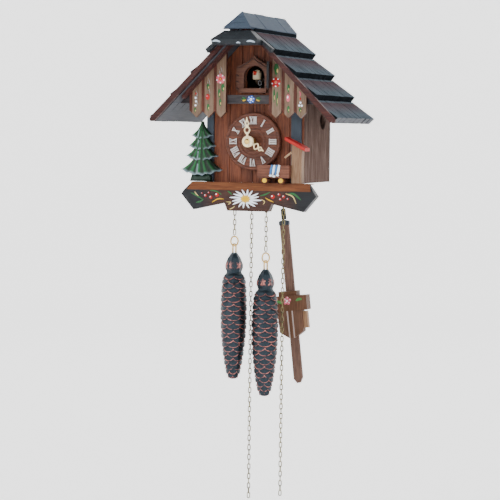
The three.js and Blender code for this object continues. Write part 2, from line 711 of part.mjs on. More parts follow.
function birdWire() {
  const top = bird.bodyZ - bird.bodyHeight / 2 - GAP;
  const upright = barZ(birdArm.x, birdArm.y, birdArm.wire, birdArm.z - birdArm.foot,
    birdArm.z + birdArm.height, 8);
  const crank = wire([
    [birdArm.x, birdArm.y, birdArm.z], [birdArm.x / 2, (birdArm.y + birdArm.reach) / 2, birdArm.z],
    [0, birdArm.reach, birdArm.z],
  ], birdArm.wire, 8, 10);
  const perch = barZ(0, birdArm.reach, birdArm.wire, birdArm.z - birdArm.wire, top, 8);
  add('bird_arm', join(upright, crank, perch), steel);
}

// A pierced, leaf-shaped hand that points up from the origin, as stations of half-width and share
// of the length: each leaf swells from the waist before it and is pierced at its widest.
const leafHand = {
  hubOpen: 0.5,
  swells: [
    { waist: 2.4, waistShare: 0.3, half: 3.2, share: 0.42, hole: 1.6 },
    { waist: 1.9, waistShare: 0.51, half: 3, share: 0.61, hole: 1.5 },
    { waist: 1.2, waistShare: 0.73, half: 0.7, share: 0.86, hole: 0 },
  ],
};

function handShape(length, hubHole) {
  const { hubOpen, swells } = leafHand;
  const shape = new THREE.Shape();
  shape.absarc(0, 0, hands.hub, Math.PI / 2 + hubOpen, Math.PI / 2 - hubOpen, false);
  for (const swell of swells) {
    shape.quadraticCurveTo(swell.waist, length * swell.waistShare, swell.half, length * swell.share);
  }
  shape.lineTo(0, length);
  shape.lineTo(-swells.at(-1).half, length * swells.at(-1).share);
  for (let i = swells.length - 1; i > 0; i -= 1) {
    const [swell, next] = [swells[i], swells[i - 1]];
    shape.quadraticCurveTo(-swell.waist, length * swell.waistShare, -next.half, length * next.share);
  }
  shape.quadraticCurveTo(-swells[0].waist, length * swells[0].waistShare,
    -hands.hub * Math.sin(hubOpen), hands.hub * Math.cos(hubOpen));
  shape.closePath();
  const pierced = swells.filter((swell) => swell.hole > 0);
  return { shape, holes: [circle(0, 0, hubHole),
    ...pierced.map((swell) => circle(0, length * swell.share, swell.hole))] };
}

function clockHands() {
  const pose = (degrees) => THREE.MathUtils.degToRad(degrees);
  const minute = handShape(hands.minuteLength, hands.hubHole);
  const minuteGroup = group(0, 0, 0, pose(hands.minuteTurn));
  add('minute_hand', slab(minute.shape, -hands.minuteFront, hands.thickness - hands.minuteFront,
    minute.holes), boneHand, minuteGroup);
  const hour = handShape(hands.hourLength, hands.hourHubHole);
  const hourGroup = group(0, 0, 0, pose(hands.hourTurn));
  add('hour_hand', slab(hour.shape, -hands.hourFront, hands.thickness - hands.hourFront,
    hour.holes), boneHand, hourGroup);
  const seat = -hands.minuteFront - GAP;
  const profile = [
    [0, seat], [nut.radius, seat], [nut.radius, seat - nut.height + nut.dome],
    [nut.radius - nut.dome, seat - nut.height], [0, seat - nut.height],
  ].map(([r, y]) => new THREE.Vector2(r, y)).reverse();
  add('hand_nut', new THREE.LatheGeometry(profile, 2 * FINE), brass, minuteGroup);
}

// ---------------------------------------------------------------- movement

const pivots = [plates.frontY - RUN, plates.backY + plates.thickness + RUN];
const escapeZ = distances.escape;
const minuteAxis = [distances.motion * Math.cos(motionAngle), distances.motion * Math.sin(motionAngle)];

function movementPlates() {
  const p = plates;
  const shape = outline([
    [-p.halfWidth, p.bottom], [p.halfWidth, p.bottom], [p.halfWidth, p.top], [-p.halfWidth, p.top],
  ]);
  const pivot = (x, z, radius = arbor.radius) => circle(x, z, radius + RUN);
  const shared = [
    pivot(-chain.wheelX, chain.wheelZ), pivot(chain.wheelX, chain.wheelZ),
    pivot(0, escapeZ), pivot(anchor.x, anchor.z),
  ];
  const frontHoles = [...shared, pivot(0, 0, arbor.thick), pivot(...minuteAxis)];
  add('plate_front', slab(shape, p.frontY, p.frontY + p.thickness, frontHoles), brass);
  const back = slab(shape, p.backY, p.backY + p.thickness, [...shared, pivot(0, 0)]);
  const pillars = [-1, 1].flatMap((side) => [p.bottom + p.pillarInset, p.top - p.pillarInset].map((z) =>
    barY(side * (p.halfWidth - p.pillarInset + 1), z, p.pillarRadius,
      p.frontY + p.thickness + GAP, p.backY + 0.5)));
  add('plate_back', join(back, ...pillars), brass);
}

function chainWheel(name, x, gearY) {
  const s = sprocket;
  const spindle = barY(x, chain.wheelZ, arbor.radius, ...pivots);
  const hub = barY(x, chain.wheelZ, s.hub, -chain.y - s.groove, gearY + 0.5, 20);
  const flange = barY(x, chain.wheelZ, s.flange, -chain.y + s.groove, gearY + 0.5, 20);
  const facing = Math.atan2(-chain.wheelZ, -x);
  const great = slab(gearOutline(greatGear, x, chain.wheelZ, facing), gearY, gearY + greatGear.width);
  add(name, join(spindle, hub, flange, great), brass);
}

function centreWheel() {
  const facing = Math.atan2(chain.wheelZ, -chain.wheelX);
  const driver = slab(gearOutline(driverGear, 0, 0, gapTowards(driverGear, facing)),
    trainY.great, trainY.great + driverGear.width);
  const wheel = slab(gearOutline(centreGear, 0, 0, Math.PI / 2),
    trainY.centre, trainY.centre + centreGear.width);
  const spindle = barY(0, 0, arbor.radius, plates.frontY + plates.thickness + 1, plates.backY + 1.8);
  const collar = barY(0, 0, arbor.thick, trainY.great, trainY.centre + 1);
  const stub = barY(0, 0, cannonPipe.bore - GAP / 2, cannonPipe.back - 6, plates.frontY + 4, 8);
  add('centre_wheel', join(driver, wheel, spindle, collar, stub), brass);
}

function escapeWheel() {
  const e = escape;
  const points = [];
  for (let i = 0; i < e.teeth; i += 1) {
    const a = (2 * Math.PI * i) / e.teeth;
    const b = a + (2 * Math.PI * e.lean) / e.teeth;
    points.push([e.radius * Math.cos(a), escapeZ + e.radius * Math.sin(a)]);
    points.push([(e.radius - e.depth) * Math.cos(b), escapeZ + (e.radius - e.depth) * Math.sin(b)]);
  }
  const wheel = slab(outline(points), e.y - e.width / 2, e.y + e.width / 2);
  const facing = gapTowards(escapePinion, -Math.PI / 2);
  const pinion = slab(gearOutline(escapePinion, 0, escapeZ, facing),
    trainY.centre - 0.7, trainY.centre - 0.7 + escapePinion.width);
  const spindle = barY(0, escapeZ, arbor.radius, ...pivots);
  add('escape_wheel', join(wheel, pinion, spindle), brass);
}

// The anchor, its arbor and the crutch that reaches back and down to the pendulum rod.
function anchorAndCrutch() {
  const a = anchor;
  const shape = outline([
    [-a.halfSpan - a.arm, -a.pallet], [-a.halfSpan, -a.pallet + 1], [-a.halfSpan, -a.arm],
    [a.halfSpan, -a.arm], [a.halfSpan, -a.pallet + 1], [a.halfSpan + a.arm, -a.pallet],
    [a.halfSpan + a.arm, a.arm / 2], [a.arm, a.arm], [-a.arm, a.arm], [-a.halfSpan - a.arm, a.arm / 2],
  ]);
  const pallets = slab(shape, a.y - a.width / 2, a.y + a.width / 2);
  pallets.rotateY(-Math.atan2(-a.x, a.z - escapeZ));
  const spindle = barY(0, 0, arbor.radius, plates.frontY - 0.4, a.crutchY + 1);
  const crutch = box(-a.crutchWire, a.crutchWire, a.crutchY - a.crutchWire, a.crutchY + a.crutchWire,
    -a.crutchReach, 0);
  const [inner, outer] = [pendulum.wire + a.forkPlay, pendulum.wire + a.forkPlay + 2 * a.crutchWire];
  const [low, high] = [-a.crutchReach - a.crutchWire, a.crutchWire - a.crutchReach];
  const bridge = box(-outer, outer, a.crutchY - a.crutchWire, a.crutchY + a.crutchWire, low, high);
  const prongs = [[-outer, -inner], [inner, outer]].map(([x0, x1]) => box(
    x0, x1, a.crutchY - a.crutchWire, 4 * a.crutchWire - pendulum.y, low, high));
  const hinge = group(a.x, 0, a.z, -pendulum.tilt);
  add('anchor', join(pallets, spindle, crutch, bridge, ...prongs), steel, hinge);
}

function motionWork() {
  const towards = motionAngle;
  const leaves = slab(gearOutline(cannonGear, 0, 0, towards), motionY.cannon,
    motionY.cannon + cannonGear.width);
  const pipe = barY(0, 0, cannonPipe.radius, -hands.minuteFront - GAP / 2, cannonPipe.back, 16);
  const bore = barY(0, 0, cannonPipe.bore, cannonPipe.back - 8, cannonPipe.back + 1, 8);
  add('cannon_pinion', cut(join(leaves, pipe), bore), brass);
  const wheel = slab(
    gearOutline(minuteGear, ...minuteAxis, gapTowards(minuteGear, towards + Math.PI)),
    motionY.cannon, motionY.cannon + minuteGear.width);
  const pinion = slab(gearOutline(minutePinion, ...minuteAxis, towards + Math.PI),
    motionY.hour - 0.5, motionY.hour - 0.5 + minutePinion.width);
  const stud = barY(...minuteAxis, arbor.radius, motionY.cannon, plates.frontY + plates.thickness - 0.2);
  add('minute_wheel', join(wheel, pinion, stud), brass);
  const disc = slab(gearOutline(hourGear, 0, 0, gapTowards(hourGear, towards)),
    motionY.hour, motionY.hour + hourGear.width);
  const tube = barY(0, 0, hourPipe.radius, -hands.hourFront, motionY.hour + 0.5, 20);
  const tunnel = barY(0, 0, hourPipe.bore, -hands.hourFront - 1, motionY.hour + 2, 16);
  add('hour_wheel', cut(join(disc, tube), tunnel), brass);
}

function bellowsPair() {
  const b = bellows;
  for (const side of [-1, 1]) {
    const [x0, x1] = side < 0 ? [-b.outer, -b.inner] : [b.inner, b.outer];
    const word = side < 0 ? 'left' : 'right';
    const mouth = box(side > 0 ? x1 - b.mouthDepth : x0 - 1, side > 0 ? x1 + 1 : x0 + b.mouthDepth,
      -b.front + b.wall, -b.back - b.wall, b.mouthZ, b.mouthZ + b.mouthHeight);
    const pipe = cut(box(x0, x1, -b.front, -b.back, b.bottom, b.top), mouth);
    add(`bellows_${word}`, pipe, clothPaper);
    add(`bellows_lid_${word}`, box(x0, x1, -b.front, -b.back, b.top + b.open, b.top + b.open + b.lid),
      clothPaper);
  }
}

function coiledGong() {
  const g = gong;
  const points = [];
  const last = g.turns * 8;
  for (let i = 0; i <= last; i += 1) {
    const a = (2 * Math.PI * i) / 8;
    const r = g.inner + ((g.outer - g.inner) * i) / last;
    points.push([g.x + r * Math.cos(a), -g.y, g.z + r * Math.sin(a)]);
  }
  const coil = wire(points, g.wire, g.sides, g.steps);
  const boss = barY(g.x + g.inner - 1, g.z, g.boss / 2, -g.y - g.bossDepth / 2, inside.back, 10);
  add('gong', join(coil, boss), steel);
}

function strikeHammer() {
  const h = hammer;
  const start = plates.backY + plates.thickness + GAP;
  const spindle = barY(h.x, h.z, h.rod, start, -h.y + 2 * h.stem);
  const arm = barZ(h.x, -h.y, h.stem, h.z, h.z + h.arm, 8);
  const head = barY(h.x, h.z + h.arm, h.head, -h.y - h.headLength / 2, h.headLength / 2 - h.y, 12);
  add('strike_hammer', join(spindle, arm, head), steel);
}

// ---------------------------------------------------------------- pendulum, chains and weights

function hangingPendulum() {
  const p = pendulum;
  const pivot = group(anchor.x, -p.y, anchor.z, -p.tilt);
  const half = p.rodThickness / 2;
  const capTop = -p.plateTop - p.plateHeight;
  const rodTop = capTop - p.capHeight;
  const stick = slab(outline([
    [-p.rodWidth / 2, rodTop], [-p.rodWidth / 2, p.point - p.rodEnd], [0, -p.rodEnd],
    [p.rodWidth / 2, p.point - p.rodEnd], [p.rodWidth / 2, rodTop],
  ]), -half, half);
  const head = box(-p.capWidth / 2, p.capWidth / 2, -p.capThickness / 2, p.capThickness / 2,
    rodTop - 0.5, capTop);
  const plate = box(-p.plateWidth / 2, p.plateWidth / 2, -p.plateThickness / 2, p.plateThickness / 2,
    capTop - 0.5, -p.plateTop);
  const leader = barZ(0, 0, p.wire, -p.plateTop - p.wire, -p.eye, arbor.sides);
  const eye = new THREE.TorusGeometry(p.eye, p.wire, 6, 14);
  eye.rotateX(Math.PI / 2);
  add('pendulum_rod', join(stick, head, plate, leader, eye), rodWood, pivot);

  const b = bob;
  const front = -b.thickness / 2;
  const back = b.thickness / 2;
  const beamTop = -b.top - b.blockHeight;
  const beamBottom = beamTop - b.beamHeight;
  const low = beamBottom - b.bodyHeight;
  const block = slab(outline([
    [b.blockLeft, beamTop - 1], [b.blockRight, beamTop - 1], [b.blockRight, -b.top], [b.blockLeft, -b.top],
  ]), front + b.blockInset, back - b.blockInset);
  const crossPiece = slab(outline([
    [-b.beamHalf, beamBottom], [b.beamHalf, beamBottom], [b.beamHalf, beamTop], [-b.beamHalf, beamTop],
  ]), front, back);
  const body = slab(outline([
    [b.bodyLeft, beamBottom + 1], [b.bodyLeft, low + b.keelHalf], [-b.keelHalf, low], [b.keelHalf, low],
    [b.bodyRight, low + b.cornerRise], [b.bodyRight, beamBottom + 1],
  ]), front + b.bodyInset, back - b.bodyInset);
  const slotHalf = p.rodWidth / 2 + b.slot;
  const slot = box(-slotHalf, slotHalf, -half - b.slot, half + b.slot, low - 2, -b.top + 2);
  add('pendulum_bob', cut(join(block, crossPiece, body), slot), rodWood, pivot);
}

function chainStrand(name, x, top, bottom) {
  add(name, barZ(x, -chain.y, chain.diameter / 2, bottom, top, chain.sides), chainMetal);
}

// The widest that a weight can be and still clear the chain beside it.
const coneRadius = 2 * chain.wheelRadius - chain.diameter / 2 - cone.clear;

// A pine-cone weight with its wire bail, and the ring that hangs it on the chain.
function pineWeight(word, x, top) {
  const widest = Math.max(...cone.profile.map(([, r]) => r));
  const grow = coneRadius / widest;
  const points = cone.profile.map(([down, r]) => new THREE.Vector2(r * grow, -down)).reverse();
  const lathe = new THREE.LatheGeometry(
    [new THREE.Vector2(0, -cone.length), ...points, new THREE.Vector2(0, 0)], cone.sides);
  lathe.rotateX(Math.PI / 2);
  const loop = [
    [-bail.half, 0, -bail.sink], [-bail.half, 0, bail.rise * 0.45], [-bail.half * 0.75, 0, bail.rise * 0.8],
    [0, 0, bail.rise], [bail.half * 0.75, 0, bail.rise * 0.8], [bail.half, 0, bail.rise * 0.45],
    [bail.half, 0, -bail.sink],
  ];
  const hoop = wire(loop, bail.wire, 6, 18);
  hoop.rotateZ(bail.turn);
  const hang = group(x, -chain.y, top);
  add(`weight_${word}`, join(lathe, hoop), castIron, hang);
  const link = new THREE.TorusGeometry(1, ring.wire, 6, 20);
  const position = link.attributes.position;
  for (let i = 0; i < position.count; i += 1) {
    const [u, v] = [position.getX(i), position.getY(i)];
    const a = Math.atan2(v, u);
    const out = Math.hypot(u, v) - 1;
    position.setXY(i, (ring.halfWidth + out) * Math.cos(a), (ring.halfHeight + out) * Math.sin(a));
  }
  link.rotateX(Math.PI / 2);
  link.rotateZ(ring.turn);
  link.translate(0, 0, ring.rise);
  add(`weight_ring_${word}`, link, brass, hang);
}

function chainsAndWeights() {
  const ringTop = ring.rise + ring.halfHeight + ring.wire + GAP;
  chainStrand('chain_left_loaded', strandX.leftLoaded, chain.loadedTop, cone.leftTop + ringTop);
  chainStrand('chain_left_free', strandX.leftFree, chain.freeTop, chain.leftEnd);
  chainStrand('chain_right_loaded', strandX.rightLoaded, chain.loadedTop, cone.rightTop + ringTop);
  chainStrand('chain_right_free', strandX.rightFree, chain.freeTop, chain.rightEnd);
  pineWeight('left', strandX.leftLoaded, cone.leftTop);
  pineWeight('right', strandX.rightLoaded, cone.rightTop);
}

// ---------------------------------------------------------------- assembly

caseFront();
caseSides();
caseFloor();
backCover();
wallHanger();
roofBoards();
ridgeCap();
frontHip();
bargeboards();
gableMoulding();
slats();
crossBeam();
baseBoard();
carvedWindow();
dialDisc();
firTree();
waterTrough();
fountain();
cuckooDoor();
cuckooBird();
birdWire();
clockHands();
movementPlates();
chainWheel('going_chain_wheel', -chain.wheelX, trainY.great);
chainWheel('strike_chain_wheel', chain.wheelX, trainY.strike);
centreWheel();
escapeWheel();
anchorAndCrutch();
motionWork();
bellowsPair();
coiledGong();
strikeHammer();
hangingPendulum();
chainsAndWeights();

export default clock;
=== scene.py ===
"""Looks of a chain-driven cuckoo clock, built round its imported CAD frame.

Lengths in this file are millimetres until a mesh is made, and the frame is the CAD's own: +X to the
right as seen from the front, +Y into the wall, +Z up, with the hand arbor on X = 0, Z = 0.
"""

import math
import random

import bpy
from bpy.props import FloatProperty, FloatVectorProperty, IntProperty, PointerProperty
from mathutils import Matrix, Vector


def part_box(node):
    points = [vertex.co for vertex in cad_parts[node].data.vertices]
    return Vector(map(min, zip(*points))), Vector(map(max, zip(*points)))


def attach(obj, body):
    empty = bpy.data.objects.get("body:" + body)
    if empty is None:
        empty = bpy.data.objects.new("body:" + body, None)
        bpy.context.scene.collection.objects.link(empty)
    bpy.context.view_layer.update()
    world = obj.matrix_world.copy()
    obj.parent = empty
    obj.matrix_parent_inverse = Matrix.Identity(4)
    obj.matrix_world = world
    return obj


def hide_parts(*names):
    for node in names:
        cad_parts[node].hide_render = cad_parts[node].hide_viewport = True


bl_info = {
    "name": "Cuckoo clock",
    "version": (1, 0, 0),
    "blender": (4, 5, 0),
    "location": "3D View > Sidebar > Cuckoo clock",
    "description": "Builds the visible pieces of a carved and painted cuckoo clock round its frame",
    "category": "Object",
}

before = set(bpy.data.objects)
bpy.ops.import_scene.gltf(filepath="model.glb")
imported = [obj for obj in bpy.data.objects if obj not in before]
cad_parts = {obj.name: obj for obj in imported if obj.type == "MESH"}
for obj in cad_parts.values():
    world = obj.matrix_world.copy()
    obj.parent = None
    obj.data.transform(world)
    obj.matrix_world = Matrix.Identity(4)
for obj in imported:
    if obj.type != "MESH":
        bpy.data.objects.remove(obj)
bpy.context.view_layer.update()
MM = 0.001


# ---------------------------------------------------------------- colours and settings

def linear(hex_colour):
    """The linear RGB of an sRGB hex colour."""
    channels = [int(hex_colour[i:i + 2], 16) / 255 for i in (1, 3, 5)]
    return [c / 12.92 if c <= 0.04045 else ((c + 0.055) / 1.055) ** 2.4 for c in channels]


def rgba(hex_colour):
    """The linear RGB of an sRGB hex colour, with full opacity."""
    return (*linear(hex_colour), 1.0)


def colour_setting(name, hex_colour, description):
    """A colour in the panel."""
    return FloatVectorProperty(
        name=name, description=description, default=linear(hex_colour), subtype="COLOR",
        size=3, min=0.0, max=1.0)


def length_setting(name, millimetres, description):
    """A length in the panel."""
    return FloatProperty(
        name=name, description=description, default=millimetres * MM, unit="LENGTH", min=0.0)


class ClockSizes(bpy.types.PropertyGroup):
    """Sizes of what is carved, painted and linked."""

    shingle: length_setting("Shingle width", 17, "Width of one shingle of the roof")
    shingle_gap: length_setting("Shingle gap", 1.1, "Gap between two shingles of a row")
    side_plank: length_setting("Side board width", 7.2, "Width of one board of the case's sides")
    link_pitch: length_setting("Link pitch", 5, "Inside length of a chain link")
    link_wire: length_setting("Link wire", 0.95, "Diameter of the chain's wire")
    link_width: length_setting("Link width", 3.5, "Outside width of a chain link")
    cone_row: length_setting("Scale row", 4.7, "Height of one row of a cone's scales")
    numeral: length_setting("Numeral height", 7.2, "Height of the dial's numerals")
    cone_scales: IntProperty(
        name="Scales round a cone", description="Scales in one row", default=6, min=4, max=16)
    petals: IntProperty(
        name="Flower petals", description="Petals of the white flower", default=16, min=5, max=30)


class ClockColours(bpy.types.PropertyGroup):
    """Colours a painter would change."""

    shingle: colour_setting("Shingles", "#4b535a", "Paint of the roof's shingles")
    # near-black on the shingles' lower ends, far darker than their tops
    butt: colour_setting("Shingle ends", "#121518", "Paint of the shingles' lower ends")
    front: colour_setting("Front", "#7d462e", "Stain of the case's front")
    barge: colour_setting("Bargeboards", "#411e19", "Stain of the boards under the roof")
    charcoal: colour_setting("Charcoal", "#131316", "Dark paint of the base and beams")
    tree: colour_setting("Fir tree", "#04230e", "Green of the fir tree")
    petal: colour_setting("White flower", "#e4e8f2", "Petals of the white flower")
    berry: colour_setting("Berries", "#9a1a15", "Red of the berries and the small roof")
    hand: colour_setting("Hands", "#ead7ab", "Colour of the two hands")


def sizes():
    """The lengths and counts set in the panel."""
    return bpy.context.scene.clock_sizes


def colours():
    """The colours set in the panel."""
    return bpy.context.scene.clock_colours


def in_mm(length):
    """A length in metres as millimetres."""
    return length / MM


# ---------------------------------------------------------------- material building

NOISE, RANGE, MIX = "ShaderNodeTexNoise", "ShaderNodeMapRange", "ShaderNodeMix"
MATH, BUMP = "ShaderNodeMath", "ShaderNodeBump"


def set_sockets(tree, node, sockets):
    """Sets or links a node's inputs. A value may be another node, for its first output, or one output."""
    for key, value in sockets.items():
        if isinstance(value, bpy.types.Node):
            value = next(output for output in value.outputs if output.enabled)
        if isinstance(value, bpy.types.NodeSocket):
            tree.links.new(value, node.inputs[key])
        else:
            node.inputs[key].default_value = value


def add_node(tree, kind, sockets=None, **settings):
    """One shader node with its settings and links."""
    made = tree.nodes.new(kind)
    for key, value in settings.items():
        setattr(made, key, value)
    set_sockets(tree, made, sockets or {})
    return made


def new_material(name, **shader_values):
    """A material with an empty tree and its shader, whose fixed values stand on its own sockets."""
    material = bpy.data.materials.new(name)
    material.use_nodes = True
    tree = material.node_tree
    tree.nodes.clear()
    shader = add_node(tree, "ShaderNodeBsdfPrincipled", shader_values)
    add_node(tree, "ShaderNodeOutputMaterial", {"Surface": shader})
    return material, tree, shader


def whole_place(tree):
    """The point on the piece, in metres."""
    return add_node(tree, "ShaderNodeTexCoord").outputs["Object"]


def stretched_place(tree, turn, along):
    """The point on the piece, turned, and squeezed along Z so that a pattern runs long that way."""
    turned = add_node(tree, "ShaderNodeMapping", {"Vector": whole_place(tree), "Rotation": turn})
    return add_node(tree, "ShaderNodeMapping", {"Vector": turned, "Scale": (1, 1, 1 / along)})


def from_middle(tree):
    """How far to the left or right of the clock's middle a point is, in metres."""
    across = add_node(tree, "ShaderNodeSeparateXYZ", {0: whole_place(tree)}).outputs["X"]
    return add_node(tree, MATH, {0: across}, operation="ABSOLUTE")


def fine(feature_mm):
    """The noise scale that makes features about feature_mm wide."""
    return 1 / (feature_mm * MM)


GRAIN_UP = (0.0, 0.0, 0.0)
GRAIN_ACROSS = (0.0, math.pi / 2, 0.0)
GRAIN_BACK = (math.pi / 2, 0.0, 0.0)
BLACK = (0.0, 0.0, 0.0, 1)


def stained_wood(name, light, dark, turn=GRAIN_UP, grain_mm=1.3, along=16, edge=None, gloss=0.5,
                 shine=0.18):
    """Lime or beech, planed or carved, stained and waxed: streaks along the grain, fine dark pores and
    a soft sheen that breaks up on the pores. An edge colour shows on faces that look sideways."""
    material, tree, shader = new_material(name, IOR=1.5, **{"Specular IOR Level": shine})
    place = stretched_place(tree, turn, along)
    streaks = add_node(tree, NOISE, {
        "Vector": place, "Scale": fine(grain_mm), "Detail": 6, "Roughness": 0.62, "Distortion": 0.4})
    bands = add_node(tree, NOISE, {
        "Vector": place, "Scale": fine(grain_mm * 6), "Detail": 3, "Roughness": 0.5, "Distortion": 0.8})
    pores = add_node(tree, NOISE, {
        "Vector": place, "Scale": fine(grain_mm / 3.2), "Detail": 2, "Roughness": 0.7})
    streaked = add_node(tree, RANGE, {0: streaks, 1: 0.32, 2: 0.68})
    banded = add_node(tree, RANGE, {0: bands, 1: 0.42, 2: 0.66, 4: 0.55})
    dotted = add_node(tree, RANGE, {0: pores, 1: 0.60, 2: 0.76, 4: 0.5})
    tone = add_node(tree, MIX, {0: streaked, 6: dark, 7: light}, data_type="RGBA")
    tone = add_node(tree, MIX, {0: banded, 6: tone, 7: dark}, data_type="RGBA")
    tone = add_node(tree, MIX, {0: dotted, 6: tone, 7: (0.02, 0.012, 0.01, 1)}, data_type="RGBA")
    if edge:
        normal = add_node(tree, "ShaderNodeNewGeometry").outputs["Normal"]
        facing = add_node(tree, "ShaderNodeSeparateXYZ", {0: normal}).outputs["X"]
        sideways = add_node(tree, MATH, {0: facing}, operation="ABSOLUTE")
        on_edge = add_node(tree, RANGE, {0: sideways, 1: 0.35, 2: 0.8})
        tone = add_node(tree, MIX, {0: on_edge, 6: tone, 7: edge}, data_type="RGBA")
    rough = add_node(tree, RANGE, {0: streaks, 1: 0.3, 2: 0.7, 3: gloss + 0.12, 4: gloss - 0.06})
    pitted = add_node(tree, RANGE, {0: pores, 1: 0.60, 2: 0.72})
    height = add_node(tree, MATH, {0: streaks, 1: pitted}, operation="SUBTRACT")
    bump = add_node(tree, BUMP, {"Height": height, "Distance": 0.14 * MM, "Strength": 0.5})
    set_sockets(tree, shader, {"Base Color": tone, "Roughness": rough, "Normal": bump})
    return material


def brushed_paint(name, base, worn, turn=GRAIN_UP, gloss=0.5, wear=0.35, shine=0.2):
    """Water-based paint brushed thinly on wood: strokes that vary in depth of colour, the wood's grain
    faint under them, and thin places where the undercoat shows."""
    material, tree, shader = new_material(name, IOR=1.48, **{"Specular IOR Level": shine})
    stroke_mm = 1.6
    place = stretched_place(tree, turn, 11)
    strokes = add_node(tree, NOISE, {
        "Vector": place, "Scale": fine(stroke_mm), "Detail": 5, "Roughness": 0.6, "Distortion": 0.3})
    cloud = add_node(tree, NOISE, {
        "Vector": whole_place(tree), "Scale": fine(17), "Detail": 4, "Roughness": 0.6})
    thin = add_node(tree, NOISE, {
        "Vector": place, "Scale": fine(stroke_mm * 2.3), "Detail": 6, "Roughness": 0.7})
    stroked = add_node(tree, RANGE, {0: strokes, 1: 0.25, 2: 0.75, 4: 0.5})
    clouded = add_node(tree, RANGE, {0: cloud, 1: 0.45, 2: 0.75, 4: 0.5})
    rubbed = add_node(tree, RANGE, {0: thin, 1: 0.62, 2: 0.72, 4: wear})
    tone = add_node(tree, MIX, {0: stroked, 6: base, 7: worn}, data_type="RGBA")
    tone = add_node(tree, MIX, {0: clouded, 6: tone, 7: base}, data_type="RGBA")
    tone = add_node(tree, MIX, {0: rubbed, 6: tone, 7: worn}, data_type="RGBA")
    rough = add_node(tree, RANGE, {0: strokes, 1: 0.3, 2: 0.7, 3: gloss + 0.1, 4: gloss - 0.08})
    bump = add_node(tree, BUMP, {"Height": strokes, "Distance": 0.12 * MM, "Strength": 0.45})
    set_sockets(tree, shader, {"Base Color": tone, "Roughness": rough, "Normal": bump})
    return material


def relief_paint(name, tone, gloss=0.3):
    """Acrylic put on thick by hand: a soft gloss, brush ridges and small changes in depth of colour."""
    material, tree, shader = new_material(name, IOR=1.49, **{"Specular IOR Level": 0.22})
    ridges = add_node(tree, NOISE, {
        "Vector": whole_place(tree), "Scale": fine(0.7), "Detail": 3, "Roughness": 0.6})
    depth = add_node(tree, RANGE, {0: ridges, 1: 0.3, 2: 0.7, 4: 0.35})
    deep = add_node(tree, MIX, {0: depth, 6: tone, 7: BLACK}, data_type="RGBA", blend_type="MULTIPLY")
    darker = add_node(tree, MIX, {0: 0.25, 6: tone, 7: deep}, data_type="RGBA")
    rough = add_node(tree, RANGE, {0: ridges, 1: 0.3, 2: 0.7, 3: gloss - 0.05, 4: gloss + 0.15})
    bump = add_node(tree, BUMP, {"Height": ridges, "Distance": 0.1 * MM, "Strength": 0.5})
    set_sockets(tree, shader, {"Base Color": darker, "Roughness": rough, "Normal": bump})
    return material


def worn_metal(name, clean, dull, roughness=0.32, grain_mm=0.8):
    """Bare metal that has been handled: even colour, duller where it has tarnished, fine scratches."""
    material, tree, shader = new_material(name, Metallic=1.0)
    even = whole_place(tree)
    tarnish = add_node(tree, NOISE, {
        "Vector": even, "Scale": fine(grain_mm * 5), "Detail": 5, "Roughness": 0.65})
    scratch = add_node(tree, NOISE, {
        "Vector": even, "Scale": fine(grain_mm), "Detail": 4, "Roughness": 0.7})
    dulled = add_node(tree, RANGE, {0: tarnish, 1: 0.4, 2: 0.65})
    tone = add_node(tree, MIX, {0: dulled, 6: rgba(clean), 7: rgba(dull)}, data_type="RGBA")
    rough = add_node(tree, RANGE, {0: tarnish, 1: 0.35, 2: 0.7, 3: roughness, 4: roughness + 0.2})
    bump = add_node(tree, BUMP, {"Height": scratch, "Distance": 0.05 * MM, "Strength": 0.35})
    set_sockets(tree, shader, {"Base Color": tone, "Roughness": rough, "Normal": bump})
    return material


def moulded_plastic(name, light, dark):
    """Bone-coloured styrene, moulded: nearly even colour, stained a little, with a low gloss."""
    material, tree, shader = new_material(name, IOR=1.59, **{"Subsurface Weight": 0.05})
    cloud = add_node(tree, NOISE, {
        "Vector": whole_place(tree), "Scale": fine(3.5), "Detail": 4, "Roughness": 0.6})
    clouded = add_node(tree, RANGE, {0: cloud, 1: 0.4, 2: 0.7})
    tone = add_node(tree, MIX, {0: clouded, 6: light, 7: dark}, data_type="RGBA")
    rough = add_node(tree, RANGE, {0: cloud, 1: 0.3, 2: 0.7, 3: 0.36, 4: 0.48})
    bump = add_node(tree, BUMP, {"Height": cloud, "Distance": 0.06 * MM, "Strength": 0.3})
    set_sockets(tree, shader, {"Base Color": tone, "Roughness": rough, "Normal": bump})
    return material


